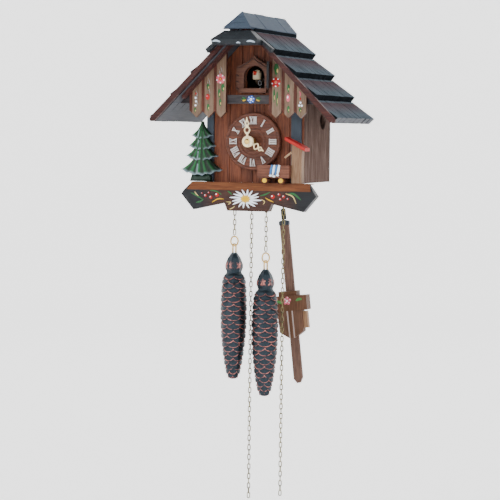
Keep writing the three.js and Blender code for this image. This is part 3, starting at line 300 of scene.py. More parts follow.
def shingle_paint(name, turn):
    """Grey paint on sawn shingles: bluer and paler low on each row, browner above as painted shade
    where the next row shades it, with saw marks that run down the slope."""
    material, tree, shader = new_material(name, IOR=1.48, **{"Specular IOR Level": 0.0})
    inward = add_node(
        tree, MATH, {0: ROOF["half"] * MM, 1: from_middle(tree)}, operation="SUBTRACT")
    rows = add_node(tree, MATH, {0: inward, 1: ROOF["run"] * MM}, operation="DIVIDE")
    up_row = add_node(tree, MATH, {0: rows}, operation="FRACT")
    marks = add_node(tree, NOISE, {
        "Vector": stretched_place(tree, turn, 10), "Scale": fine(1.0), "Detail": 6, "Roughness": 0.65,
        "Distortion": 0.3})
    cloud = add_node(tree, NOISE, {
        "Vector": whole_place(tree), "Scale": fine(22), "Detail": 4, "Roughness": 0.6})
    # painted shade: each row turns browner higher up, under the next row
    shaded = add_node(tree, RANGE, {0: up_row, 1: 0.25, 2: 0.9})
    marked = add_node(tree, RANGE, {0: marks, 1: 0.45, 2: 0.75, 4: 0.4})
    clouded = add_node(tree, RANGE, {0: cloud, 1: 0.45, 2: 0.72, 4: 0.45})
    low = (*colours().shingle, 1)
    tone = add_node(tree, MIX, {0: shaded, 6: low, 7: rgba("#4c3d40")}, data_type="RGBA")
    tone = add_node(tree, MIX, {0: marked, 6: tone, 7: rgba("#55646e")}, data_type="RGBA")
    tone = add_node(tree, MIX, {0: clouded, 6: tone, 7: rgba("#232a2f")}, data_type="RGBA")
    rough = add_node(tree, RANGE, {0: marks, 1: 0.3, 2: 0.7, 3: 0.62, 4: 0.42})
    bump = add_node(tree, BUMP, {"Height": marks, "Distance": 0.2 * MM, "Strength": 0.55})
    set_sockets(tree, shader, {"Base Color": tone, "Roughness": rough, "Normal": bump})
    return material


def carved_colour(name):
    """Paint laid on a carving in several colours, kept with the carving's own points, with the same
    brush ridges as the rest of the paint."""
    material, tree, shader = new_material(name, IOR=1.49, **{"Specular IOR Level": 0.25})
    held = add_node(tree, "ShaderNodeAttribute", attribute_name="paint").outputs["Color"]
    ridges = add_node(tree, NOISE, {
        "Vector": stretched_place(tree, GRAIN_UP, 5), "Scale": fine(0.8), "Detail": 4, "Roughness": 0.65})
    depth = add_node(tree, RANGE, {0: ridges, 1: 0.3, 2: 0.7, 4: 0.55})
    tone = add_node(tree, MIX, {0: depth, 6: held, 7: (0.35, 0.35, 0.35, 1)}, data_type="RGBA",
                    blend_type="MULTIPLY")
    rough = add_node(tree, RANGE, {0: ridges, 1: 0.3, 2: 0.7, 3: 0.35, 4: 0.55})
    bump = add_node(tree, BUMP, {"Height": ridges, "Distance": 0.16 * MM, "Strength": 0.5})
    set_sockets(tree, shader, {"Base Color": tone, "Roughness": rough, "Normal": bump})
    return material


def bronzed_iron(name):
    """Cast iron, blackened and then rubbed with copper bronze that stays on the scales' raised edges."""
    material, tree, shader = new_material(name, Metallic=0.75)
    raised = add_node(tree, "ShaderNodeAttribute", attribute_name="raised").outputs["Fac"]
    even = whole_place(tree)
    rub = add_node(tree, NOISE, {"Vector": even, "Scale": fine(3.4), "Detail": 5, "Roughness": 0.7})
    grit = add_node(tree, NOISE, {"Vector": even, "Scale": fine(0.6), "Detail": 3, "Roughness": 0.6})
    caught = add_node(tree, MATH, {0: raised, 1: rub}, operation="MULTIPLY")
    copper = add_node(tree, RANGE, {0: caught, 1: 0.38, 2: 0.62})
    gritty = add_node(tree, RANGE, {0: grit, 1: 0.3, 2: 0.7})
    dark = add_node(tree, MIX, {0: gritty, 6: rgba("#11191e"), 7: rgba("#26333c")}, data_type="RGBA")
    tone = add_node(tree, MIX, {0: copper, 6: dark, 7: rgba("#be7469")}, data_type="RGBA")
    rough = add_node(tree, RANGE, {0: grit, 1: 0.3, 2: 0.7, 3: 0.34, 4: 0.5})
    bump = add_node(tree, BUMP, {"Height": grit, "Distance": 0.12 * MM, "Strength": 0.5})
    set_sockets(tree, shader, {"Base Color": tone, "Roughness": rough, "Normal": bump})
    return material


def studio_paper(name):
    """Matt seamless paper: pale, with a fibre too fine to show, drawn a little coarser."""
    material, tree, shader = new_material(name, Roughness=0.9, **{"Emission Strength": 0.95})
    fibre = add_node(tree, NOISE, {
        "Vector": whole_place(tree), "Scale": fine(40), "Detail": 4, "Roughness": 0.55})
    fibrous = add_node(tree, RANGE, {0: fibre, 1: 0.3, 2: 0.7})
    tone = add_node(tree, MIX, {0: fibrous, 6: rgba("#f4f4f4"), 7: rgba("#f8f8f8")}, data_type="RGBA")
    set_sockets(tree, shader, {"Base Color": tone, "Emission Color": tone})
    return material


# ---------------------------------------------------------------- sizes of the frame

def spans(node):
    """Lowest and highest corner of a CAD node, in millimetres."""
    low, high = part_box(node)
    return Vector(low) / MM, Vector(high) / MM


CASE_LOW, CASE_HIGH = spans("case_front")
ROOF_LOW, ROOF_HIGH = spans("roof_right")
PITCH = math.radians(46)
# half: half the roof's width; run: one row's width seen from above; butt: height of a shingle's lower
# end, which leans out by lean; tip: height of the lowest edge; front and ridge: the roof's own.
ROOF = {
    "half": ROOF_HIGH.x, "run": 21.6, "rows": 4, "butt": 5.8, "lean": math.radians(60),
    "thickness": 8.2, "tip": 24.7, "front": ROOF_LOW.y, "ridge": ROOF_HIGH.z,
}
# The pendulum at rest: how far it leans, and the point that it hangs from.
TILT = math.radians(6.3)
HINGE = Vector((-5.16, -17.9, 36.0))
SKIN = 0.12  # how far a painted stroke's foot is sunk into what carries it


def underside(x):
    """Height of the roof boards' underside at a distance x from the middle."""
    low_x = ROOF["half"] - ROOF["thickness"] * math.sin(PITCH)
    low_z = ROOF["tip"] - ROOF["thickness"] * math.cos(PITCH)
    return low_z + (low_x - abs(x)) * math.tan(PITCH)


# ---------------------------------------------------------------- shape building

class Carving:
    """Points in millimetres, faces, and for each face the number of its finish."""

    def __init__(self):
        self.points = []
        self.faces = []
        self.finishes = []
        self.values = []

    def add(self, points, faces, finish=0, values=None):
        """Adds faces whose corners are numbered within the given points."""
        start = len(self.points)
        self.points.extend(tuple(p) for p in points)
        self.faces.extend([start + i for i in face] for face in faces)
        self.finishes.extend([finish] * len(faces))
        self.values.extend(values or [None] * len(points))

    def slab(self, outline, front, back, finish=0, lay=None):
        """A flat piece whose outline lies in XZ and runs from y = front to y = back."""
        place = lay or (lambda x, y, z: (x, y, z))
        n = len(outline)
        points = [place(x, front, z) for x, z in outline] + [place(x, back, z) for x, z in outline]
        area = sum(outline[i - 1][0] * outline[i][1] - outline[i][0] * outline[i - 1][1] for i in range(n))
        sides = [[i, (i + 1) % n, n + (i + 1) % n, n + i] for i in range(n)]
        faces = [list(range(n))[::-1], list(range(n, 2 * n))] + sides
        if area < 0:
            faces = [face[::-1] for face in faces]
        self.add(points, [face[::-1] for face in faces], finish)

    def block(self, low, high, finish=0, lay=None):
        """A box between two corners."""
        (x0, y0, z0), (x1, y1, z1) = low, high
        self.slab([(x0, z0), (x1, z0), (x1, z1), (x0, z1)], y0, y1, finish, lay)

    def grid(self, rows, finish=0, closed=False, values=None):
        """A skin over rows of points; closed joins each row's ends."""
        wide = len(rows[0])
        faces = []
        for i in range(len(rows) - 1):
            for j in range(wide if closed else wide - 1):
                k = (j + 1) % wide
                faces.append([i * wide + j, i * wide + k, (i + 1) * wide + k, (i + 1) * wide + j])
        flat = [p for row in rows for p in row]
        self.add(flat, faces, finish, values)

    def spun(self, profile, axis_point, axis="Y", steps=48, finish=0, values=None):
        """A turned piece: profile is (radius, distance along the axis) from end to end."""
        rows = []
        for radius, along in profile:
            row = []
            for i in range(steps):
                a = 2 * math.pi * i / steps
                u, v = radius * math.cos(a), radius * math.sin(a)
                if axis == "Y":
                    row.append((axis_point[0] + u, along, axis_point[1] + v))
                else:
                    row.append((axis_point[0] + u, axis_point[1] + v, along))
            rows.append(row)
        self.grid(rows, finish, closed=True, values=values)

    def tube(self, path, radius, sides=10, finish=0, closed=False):
        """A round wire along a path of points."""
        path = [Vector(p) for p in path]
        n = len(path)
        rows = []
        side = None
        for i, point in enumerate(path):
            after = path[(i + 1) % n] if closed or i < n - 1 else point
            before = path[i - 1] if closed or i > 0 else point
            along = (after - before).normalized()
            if side is None:
                side = along.orthogonal().normalized()
            side = (side - along * side.dot(along)).normalized()
            other = along.cross(side)
            rows.append([
                point + radius * (math.cos(2 * math.pi * j / sides) * side
                                  + math.sin(2 * math.pi * j / sides) * other)
                for j in range(sides)])
        if closed:
            rows.append(rows[0])
        self.grid(rows, finish, closed=True)
        if not closed:
            start = len(self.points) - len(rows) * sides
            self.faces.append(list(range(start, start + sides))[::-1])
            self.faces.append(list(range(len(self.points) - sides, len(self.points))))
            self.finishes.extend([finish, finish])

    def ball(self, centre, radii, finish=0, steps=20):
        """A rounded lump with three radii."""
        rows = []
        for i in range(1, steps // 2):
            a = math.pi * i / (steps // 2)
            rows.append([(
                centre[0] + radii[0] * math.sin(a) * math.cos(2 * math.pi * j / steps),
                centre[1] + radii[1] * math.sin(a) * math.sin(2 * math.pi * j / steps),
                centre[2] + radii[2] * math.cos(a)) for j in range(steps)])
        self.grid(rows, finish, closed=True)
        start = len(self.points) - len(rows) * steps
        last = len(self.points) - steps
        self.add([(centre[0], centre[1], centre[2] + radii[2]),
                  (centre[0], centre[1], centre[2] - radii[2])], [], finish)
        top, bottom = len(self.points) - 2, len(self.points) - 1
        for j in range(steps):
            k = (j + 1) % steps
            self.faces.append([top, start + k, start + j])
            self.faces.append([bottom, last + j, last + k])
        self.finishes.extend([finish] * (2 * steps))

    # Paint put on thick. It stands on a face whose outward normal is -Y, at y = face.

    def dab(self, x, z, half_x, half_z, face, finish=0, rise=0.5, steps=20, tip=0.0):
        """A rounded spot of paint; tip draws its lower end out to a point."""
        rings = []
        for share, up in ((1.0, -SKIN), (0.86, 0.55 * rise), (0.55, 0.88 * rise), (0.22, rise)):
            ring = []
            for i in range(steps):
                a = 2 * math.pi * i / steps
                u, v = math.cos(a), math.sin(a)
                pull = tip * max(0.0, -v) ** 3
                ring.append((x + half_x * share * u * (1 - 0.6 * max(0.0, -v) * tip),
                             face - up, z + half_z * share * (v - pull)))
            rings.append(ring)
        self.grid(rings, finish, closed=True)
        start = len(self.points) - steps
        self.faces.append(list(range(start, start + steps)))
        self.finishes.append(finish)

    def stroke(self, path, half_width, face, finish=0, rise=0.45, ends=(0.15, 0.05), steps=18):
        """A brush stroke along (x, z) points: widest in the middle, drawn out at its ends."""
        line = smooth_line(path, steps)
        rows = []
        for i, (x, z) in enumerate(line):
            s = i / (len(line) - 1)
            (x0, z0), (x1, z1) = line[max(i - 1, 0)], line[min(i + 1, len(line) - 1)]
            along = math.hypot(x1 - x0, z1 - z0) or 1.0
            nx, nz = -(z1 - z0) / along, (x1 - x0) / along
            swell = math.sin(math.pi * min(max(s, 0.0), 1.0)) ** 0.6
            first, last = ends
            w = half_width * max(swell, first * (1 - s) + last * s)
            h = rise * (0.35 + 0.65 * w / half_width)
            rows.append([(x + nx * w * t, face - (h * (1 - t * t) - SKIN * abs(t) ** 3), z + nz * w * t)
                         for t in (-1, -0.6, 0, 0.6, 1)])
        self.grid(rows, finish)


def smooth_line(points, steps):
    """Points on a smooth curve through the given ones."""
    ends = [points[0], *points, points[-1]]
    line = []
    pieces = len(points) - 1
    for i in range(pieces):
        p = [Vector(q) for q in ends[i:i + 4]]
        count = max(2, steps // pieces)
        for j in range(count + (1 if i == pieces - 1 else 0)):
            t = j / count
            line.append(tuple(0.5 * (
                2 * p[1] + (p[2] - p[0]) * t + (2 * p[0] - 5 * p[1] + 4 * p[2] - p[3]) * t ** 2
                + (3 * p[1] - p[0] - 3 * p[2] + p[3]) * t ** 3)))
    return line


def make_piece(name, carving, materials, body="case", replaced=(), bevel=0.0,
               smooth=False, paint=None):
    """A visible piece from a carving, riding on its body and standing for its CAD nodes."""
    mesh = bpy.data.meshes.new(name)
    mesh.from_pydata([[c * MM for c in p] for p in carving.points], [], carving.faces)
    for material in materials:
        mesh.materials.append(material)
    mesh.polygons.foreach_set("material_index", carving.finishes)
    if smooth:
        mesh.polygons.foreach_set("use_smooth", [True] * len(mesh.polygons))
    if paint:
        kind = "FLOAT" if paint == "raised" else "FLOAT_COLOR"
        layer = mesh.attributes.new(paint, kind, "POINT")
        if kind == "FLOAT":
            layer.data.foreach_set("value", carving.values)
        else:
            layer.data.foreach_set("color", [c for value in carving.values for c in (*value, 1.0)])
    mesh.update()
    piece = bpy.data.objects.new(name, mesh)
    bpy.context.scene.collection.objects.link(piece)
    if bevel:
        round_edges(piece, bevel)
    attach(piece, body)
    if replaced:
        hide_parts(*replaced)
    return piece


def round_edges(piece, width, segments=2):
    """Takes the sharp edges off a piece, as sandpaper does."""
    edges = piece.modifiers.new("rounded_edges", "BEVEL")
    edges.width = width * MM
    edges.segments = segments
    edges.limit_method = "ANGLE"
    edges.angle_limit = math.radians(32)
    edges.use_clamp_overlap = True


def dress(nodes, material, bevel=0.0):
    """Gives CAD nodes their finish, with rounded edges where they have any."""
    for name in nodes:
        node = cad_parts[name]
        node.data.materials.clear()
        node.data.materials.append(material)
        if bevel:
            round_edges(node, bevel)


# ---------------------------------------------------------------- camera, floor and light

class CLOCK_OT_stage(bpy.types.Operator):
    """Sets up the camera, the pale sweep under the clock and the soft studio lights"""

    bl_idname = "clock.stage"
    bl_label = "Camera, floor and lights"

    def execute(self, context):
        place_camera(context)
        make_sweep()
        light_studio(context)
        return {"FINISHED"}


CAMERA = {
    "azimuth": math.radians(19.98), "elevation": math.radians(3.67), "roll": math.radians(0.68),
    "target": Vector((-19.5, -46.6, -114.0)), "distance": 1985.0, "lens": 136.35,
}


def place_camera(context):
    """A long lens, a little to the clock's right and slightly below its roof."""
    a, p, r = CAMERA["azimuth"], CAMERA["elevation"], CAMERA["roll"]
    ahead = Vector((-math.sin(a) * math.cos(p), math.cos(a) * math.cos(p), -math.sin(p)))
    level = Vector((math.cos(a), math.sin(a), 0.0))
    upright = level.cross(ahead)
    right = math.cos(r) * level + math.sin(r) * upright
    up = math.cos(r) * upright - math.sin(r) * level
    data = bpy.data.cameras.new("camera")
    data.lens = CAMERA["lens"]
    data.clip_end = 100.0
    camera = bpy.data.objects.new("camera", data)
    context.scene.collection.objects.link(camera)
    turn = Matrix((right, up, -ahead)).transposed().to_4x4()
    camera.matrix_world = Matrix.Translation((CAMERA["target"] - ahead * CAMERA["distance"]) * MM) @ turn
    context.scene.camera = camera


def make_sweep():
    """A round pale floor that curves up far away, so that it is plain behind the clock on every side."""
    floor_z, flat, radius, rise = -520.0, 4200.0, 2600.0, 5200.0
    profile = [(0.001, floor_z), (flat, floor_z)]
    profile += [(flat + radius * math.sin(a), floor_z + radius * (1 - math.cos(a)))
                for a in (math.pi / 2 * i / 12 for i in range(1, 13))]
    profile.append((flat + radius, floor_z + radius + rise))
    sweep = Carving()
    sweep.spun(profile, (0.0, 0.0), axis="Z", steps=96)
    piece = bpy.data.meshes.new("floor")
    piece.from_pydata([[c * MM for c in p] for p in sweep.points], [], sweep.faces)
    piece.materials.append(studio_paper("seamless_paper"))
    piece.polygons.foreach_set("use_smooth", [True] * len(piece.polygons))
    floor = bpy.data.objects.new("floor", piece)
    bpy.context.scene.collection.objects.link(floor)


def light_studio(context):
    """Even light from all round, with four large softboxes."""
    world = bpy.data.worlds.new("studio")
    world.use_nodes = True
    back = world.node_tree.nodes["Background"]
    back.inputs["Color"].default_value = (1.0, 1.0, 1.0, 1.0)
    back.inputs["Strength"].default_value = 0.5
    context.scene.world = world
    softboxes = (
        ("key_softbox", (-0.9, -2.1, 1.5), 1.2, 20.0),
        ("fill_softbox", (1.9, -1.3, 0.7), 1.8, 2.5),
        ("top_softbox", (0.3, 0.2, 2.3), 1.6, 6.0),
        ("back_softbox", (-0.6, 2.3, 1.1), 1.8, 6.0),
    )
    for name, place, side, power in softboxes:
        data = bpy.data.lights.new(name, "AREA")
        data.size = side
        data.energy = power
        lamp = bpy.data.objects.new(name, data)
        lamp.location = place
        lamp.rotation_euler = (Vector((0, -0.05, -0.06)) - Vector(place)).to_track_quat("-Z", "Y").to_euler()
        context.scene.collection.objects.link(lamp)


# ---------------------------------------------------------------- chains

class CLOCK_OT_chains(bpy.types.Operator):
    """Hangs the four strands of chain, link by link"""

    bl_idname = "clock.chains"
    bl_label = "Chains"

    def execute(self, context):
        metal = worn_metal("tarnished_brass_wire", "#7d7350", "#48432c", 0.34, grain_mm=1.2)
        strands = (
            ("chain_left_loaded", "going_weight"), ("chain_left_free", "going_free_chain"),
            ("chain_right_loaded", "strike_weight"), ("chain_right_free", "strike_free_chain"),
        )
        for node, body in strands:
            make_piece(f"links_{node}", link_strand(node), [metal], body, [node], smooth=True)
        return {"FINISHED"}


def link_strand(node):
    """Long links, each a quarter turn from the last, from the strand's lower end to its top."""
    low, high = spans(node)
    x, y = (low.x + high.x) / 2, (low.y + high.y) / 2
    pitch, wire = in_mm(sizes().link_pitch), in_mm(sizes().link_wire)
    bend = (in_mm(sizes().link_width) - wire) / 2
    half = (pitch + wire) / 2
    loop = [(bend * math.cos(a), half - bend + bend * math.sin(a))
            for a in (math.pi * i / 6 for i in range(7))]
    loop += [(-u, -v) for u, v in loop]
    strand = Carving()
    count = int((high.z - low.z - 2 * half + pitch) / pitch)
    for i in range(count):
        z = low.z + half + wire / 2 + i * pitch
        turn = math.radians(24 + 90 * (i % 2) + 5 * math.sin(1.7 * i))
        path = [(x + u * math.cos(turn), y + u * math.sin(turn), z + v) for u, v in loop]
        strand.tube(path, wire / 2, sides=7, closed=True)
    return strand


# ---------------------------------------------------------------- roof

class CLOCK_OT_roof(bpy.types.Operator):
    """Lays the shingles, the ridge cap and the small hip in front"""

    bl_idname = "clock.roof"
    bl_label = "Roof"

    def execute(self, context):
        slope = (0.0, -PITCH, 0.0)
        top = shingle_paint("weathered_grey_shingle_paint_with_painted_shade", slope)
        # the shingles' lower and side ends and the board's front are near-black, far darker than the tops
        butt = brushed_paint("near_black_shingle_ends", (*colours().butt, 1), rgba("#202429"), GRAIN_BACK,
                             shine=0.0)
        soffit = brushed_paint("grey_primer_underside", rgba("#44464c"), rgba("#34363b"), GRAIN_BACK,
                               shine=0.05)
        for node, side in (("roof_right", 1), ("roof_left", -1)):
            make_piece(f"shingled_{node}", shingled_board(side), [top, butt, soffit], "case", [node],
                       bevel=0.35)
        cap = brushed_paint("pale_blue_grey_ridge_paint", rgba("#404a57"), rgba("#272f39"), GRAIN_BACK,
                            shine=0.02)
        make_piece("shingled_ridge_cap", capped_ridge(), [cap, butt], "case", ["ridge_cap"],
                   bevel=0.5)
        hip = brushed_paint("blue_black_hip_paint", rgba("#111417"), rgba("#262d34"), GRAIN_UP, wear=0.6)
        dress(["front_hip"], hip, 0.8)
        patch = relief_paint("pale_grey_highlight_paint", rgba("#9aa7b3"))
        make_piece("hip_highlights", hip_highlights(), [patch], "case", smooth=True)
        return {"FINISHED"}


def shingled_board(side):
    """One side of the roof: a board under rows of separate shingles with slightly uneven ends."""
    chance = random.Random(11 + side)
    board = Carving()
    half, run, rows = ROOF["half"], ROOF["run"], ROOF["rows"]
    slope = math.tan(PITCH)
    lean = (ROOF["butt"] * math.cos(ROOF["lean"]), ROOF["butt"] * math.sin(ROOF["lean"]))
    front, gap = ROOF["front"], in_mm(sizes().shingle_gap)
    low_x = half - ROOF["thickness"] * math.sin(PITCH)
    sunk = 1.6
    tips = [(half - row * run, ROOF["tip"] + row * run * slope) for row in range(rows)]
    notches = [(x - lean[0], z - lean[1]) for x, z in tips]
    core = [(0.2, underside(0)), (0.2, ROOF["ridge"] - sunk)]
    for (x, z), (nx, nz) in reversed(list(zip(tips, notches))):
        core += [(x - 1.5 * sunk, z - sunk), (nx - 1.6 * sunk, nz - 0.5 * sunk)]
    core = core[:-1] + [(low_x - 0.5, underside(low_x) + 0.2)]
    front_cap = len(board.finishes)
    board.slab([(side * x, z) for x, z in core], front + 0.6, 0.0, finish=2)
    board.finishes[front_cap] = 1
    for row in range(rows):
        tip, notch = tips[row], notches[row]
        upper = notches[row + 1] if row + 1 < rows else (0.2, ROOF["ridge"])
        y = front
        width = in_mm(sizes().shingle)
        shift = 0.5 * width if row % 2 else 0.0
        while y < -0.5:
            end = min(y + width - shift + chance.uniform(-1.6, 1.6), 0.0)
            shift = 0.0
            if end > -5.0:
                end = 0.0
            out, lift = chance.uniform(-0.4, 0.15), chance.uniform(-0.2, 0.05)
            skew = chance.uniform(-0.25, 0.25)
            lay_shingle(board, side, tip, notch, upper, y, end - (gap if end < 0 else 0),
                        (out, skew, lift), low_x if row == 0 else None)
            y = end
    return board


def lay_shingle(board, side, tip, notch, upper, y0, y1, wear, low_x):
    """One shingle from its butt up to the notch it is tucked into."""
    out, skew, lift = wear
    slope = math.tan(PITCH)
    foot = (low_x, underside(low_x)) if low_x else (notch[0] - 1.2, notch[1] - 0.4)
    points = []
    for y, turn in ((y0, -skew), (y1, skew)):
        reach = out + turn
        x0, z0 = tip[0] + reach * math.cos(PITCH) * 0.7, tip[1] - reach * math.sin(PITCH) * 0.7
        low = (foot[0] + reach * 0.5, foot[1] - reach * 0.5 * slope)
        top = (upper[0], upper[1] + lift)
        bottom = (upper[0] - 1.0, upper[1] - 3.4)
        points += [(side * x, y, z) for x, z in ((x0, z0 + lift), low, bottom, top)]
    faces = [[0, 4, 7, 3], [0, 1, 5, 4], [1, 2, 6, 5], [2, 3, 7, 6], [0, 3, 2, 1], [4, 5, 6, 7]]
    finishes = [0, 2 if low_x else 1, 2, 0, 1, 1]
    if side < 0:
        faces = [face[::-1] for face in faces]
    start = len(board.points)
    board.points.extend(points)
    board.values.extend([None] * len(points))
    board.faces.extend([start + i for i in face] for face in faces)
    board.finishes.extend(finishes)


def capped_ridge():
    """The folded cap over the ridge, in courses, with its own small hip at the front."""
    low, high = spans("ridge_cap")
    half, apex = high.x, high.z
    hip_run = 14.8
    slope = (apex - low.z) / half
    cap = Carving()
    thick = 4.2
    laps = [low.y, low.y + hip_run + 3.0, -96.0, -66.0, -33.0, 0.0]
    for number, (front, back) in enumerate(zip(laps, laps[1:])):
        step = 0.35 * (number % 2)
        for side in (1, -1):
            outer = [(0.0, apex - step), (side * half, low.z + 1.4 - step),
                     (side * (half - 2.6), low.z - 0.6), (0.0, apex - thick)]
            if number == 0:
                leaning_course(cap, side, outer, front, back, hip_run)
            else:
                cap.slab(outer, front + 0.25, back - 0.25)
    for side in (1, -1):
        ends = sorted((side * (half - 2.6), side * (half - 0.5)))
        cap.block((ends[0], low.y + hip_run + 1.0, low.z - 2.4), (ends[1], -0.2, low.z + 0.9), 1)
    # The front slope: three short courses of shingles, each over the one below.
    rows, lip = 3, 1.1
    for row in range(rows):
        a, b = row / rows, (row + 1) / rows
        z_low, z_high = apex - slope * half * (1 - a), apex - slope * half * (1 - b)
        y_low, y_high = low.y + hip_run * a, low.y + hip_run * b
        w_low, w_high = half * (1 - a) + 0.3, half * (1 - b) + 0.3
        face = [(-w_low, y_low - lip, z_low), (w_low, y_low - lip, z_low),
                (w_high, y_high, z_high + 0.2), (-w_high, y_high, z_high + 0.2)]
        under = [(x, y + 2.6, z - 0.8) for x, y, z in face]
        cap.add(face + under, [[0, 1, 2, 3], [7, 6, 5, 4], [0, 4, 5, 1], [1, 5, 6, 2], [2, 6, 7, 3],
                               [3, 7, 4, 0]], 0)
    return cap


def leaning_course(cap, side, outer, front, back, run):
    """The foremost course, whose front end leans back up to the ridge."""
    apex, low_z = outer[0][1], outer[1][1]
    points = []
    for x, z in outer:
        points.append((x, front + run * (z - low_z) / (apex - low_z), z))
    points += [(x, back, z) for x, z in outer]
    faces = [[0, 1, 2, 3], [7, 6, 5, 4], [0, 4, 5, 1], [1, 5, 6, 2], [2, 6, 7, 3], [3, 7, 4, 0]]
    if side > 0:
        faces = [face[::-1] for face in faces]
    cap.add(points, faces, 0)


def hip_highlights():
    """Pale strokes on the hip's lip and ears."""
    paint = Carving()
    low, _ = spans("front_hip")
    face = low.y + 0.2
    paint.stroke([(-23, 98.6), (-19, 99.6), (-14.5, 98.0)], 1.1, face, rise=0.3)
    paint.stroke([(13, 98.3), (17, 99.0), (22, 97.6)], 1.0, face, rise=0.3)
    paint.stroke([(2.2, 97.0), (4.3, 97.6), (6.6, 96.8)], 0.8, face, rise=0.3)
    return paint


# ---------------------------------------------------------------- case

class CLOCK_OT_case(bpy.types.Operator):
    """Builds the planked front with its painted pillars and finishes the rest of the box"""

    bl_idname = "clock.case"
    bl_label = "Case"

    def execute(self, context):
        front = stained_wood(
            "red_brown_stained_pine_front", (*colours().front, 1), rgba("#41231a"), GRAIN_UP, 1.3)
        pillar = brushed_paint("blue_grey_pillar_paint", rgba("#313a44"), rgba("#181d23"), GRAIN_UP, wear=0.7)
        make_piece("planked_front", planked_front(), [front], "case", ["case_front"],
                   bevel=0.3)
        make_piece("painted_pillars", painted_pillars(), [pillar], "case", bevel=0.3)
        side = stained_wood(
            "dull_brown_stained_pine_side", rgba("#6a5a54"), rgba("#42332d"), GRAIN_UP, 1.4, shine=0.0)
        for node, x in (("case_side_left", -1), ("case_side_right", 1)):
            make_piece(f"grooved_{node}", grooved_side(node, x), [side], "case", [node],
                       bevel=0.25)
        dark = stained_wood("dark_stained_pine_boards", rgba("#4d3a32"), rgba("#2c201c"), GRAIN_UP, 1.6)
        dress(["case_floor", "back_cover"], dark, 0.4)
        dress(["wall_hanger"], worn_metal("zinc_plated_hanger", "#a9acae", "#7c8083", 0.35), 0.1)
        return {"FINISHED"}


# The bird's window: half its width, its sill, and where its arch springs.
WINDOW = {"half": 11.2, "sill": 54.0, "spring": 65.6}


def planked_front():
    """The front in upright boards with a groove between them, cut round the bird's window."""
    low, high = CASE_LOW, CASE_HIGH
    board = Carving()
    groove, sawn_step, recess = 0.25, 2.4, 0.9
    seams = [low.x, -45.0, -27.7, -15.0, -2.7, 9.2, 23.0, 37.0, high.x]
    back = high.y
    for left, right in zip(seams[:-1], seams[1:]):
        a, b = left + (groove if left > low.x else 0), right - (groove if right < high.x else 0)
        count = max(1, round((b - a) / sawn_step))
        edges = [a + (b - a) * i / count for i in range(count + 1)]
        top = [(x, underside(x) - 0.4) for x in reversed(edges)]
        low_part, high_part = window_edges(a, b)
        if low_part is None:
            board.slab([(a, low.z), (b, low.z)] + top, low.y, back)
        else:
            board.slab([(a, low.z), (b, low.z)] + low_part[::-1], low.y, back)
            board.slab(high_part + top, low.y, back)
    # Behind the grooves, so that no light shows through them.
    behind = low.y + recess
    board.block((low.x, behind, low.z), (-WINDOW["half"], back, 60.0))
    board.block((WINDOW["half"], behind, low.z), (high.x, back, 60.0))
    board.block((-WINDOW["half"], behind, low.z), (WINDOW["half"], back, WINDOW["sill"]))
    return board


def window_edges(a, b):
    """The window's lower and upper edge between two uprights, or nothing when they miss it."""
    half, sill, spring = WINDOW["half"], WINDOW["sill"], WINDOW["spring"]
    if b <= -half or a >= half:
        return None, None
    xs = [a + (b - a) * i / 10 for i in range(11)]
    low_line, high_line = [], []
    for x in xs:
        inside = abs(x) < half
        low_line.append((x, sill if inside else spring))
        high_line.append((x, spring + math.sqrt(half ** 2 - x * x) if inside else spring))
    return low_line, high_line


def painted_pillars():
    """The two corner pillars, under the roof's overhang."""
    pillars = Carving()
    face = CASE_LOW.y
    for x0, x1, top in ((-52.0, -44.6, 38.0), (39.4, 50.0, 38.0)):
        pillars.block((x0, face - 3.4, CASE_LOW.z), (x1, face + 0.2, top))
    return pillars


def grooved_side(node, side):
    """A side wall in narrow upright boards, with the round hole the sound comes through."""
    low, high = spans(node)
    hole_y, hole_z, hole_r = -25.5, 22.0, 9.0
    groove, skin_depth = 0.22, 0.9
    wall = Carving()
    inner = low.x if side > 0 else high.x
    outer = high.x if side > 0 else low.x
    width = in_mm(sizes().side_plank)
    count = round((high.y - low.y) / width)
    skin = outer - side * skin_depth
    for i in range(count):
        a = low.y + (high.y - low.y) * i / count + groove
        b = low.y + (high.y - low.y) * (i + 1) / count - groove
        for z0, z1, ya, yb in strips_beside_hole(a, b, low.z, high.z, hole_y, hole_z, hole_r):
            wall.slab([(ya, z0[0]), (yb, z0[1]), (yb, z1[1]), (ya, z1[0])], outer, skin, 0,
                      lambda x, y, z: (y, x, z))
    ring = 40
    rows = []
    for depth in (skin, inner):
        rows.append([(depth, hole_y + hole_r * math.cos(2 * math.pi * i / ring),
                      hole_z + hole_r * math.sin(2 * math.pi * i / ring)) for i in range(ring)])
    wall.grid(rows, 0, closed=True)
    for depth in (skin, inner):
        plate_with_hole(wall, depth, (low.y, high.y), (low.z, high.z), (hole_y, hole_z, hole_r), ring)
    edge = [(inner, low.y, low.z), (inner, high.y, low.z), (inner, high.y, high.z), (inner, low.y, high.z)]
    rim = [(skin, y, z) for _, y, z in edge]
    wall.add(edge + rim, [[i, (i + 1) % 4, 4 + (i + 1) % 4, 4 + i] for i in range(4)], 0)
    return wall


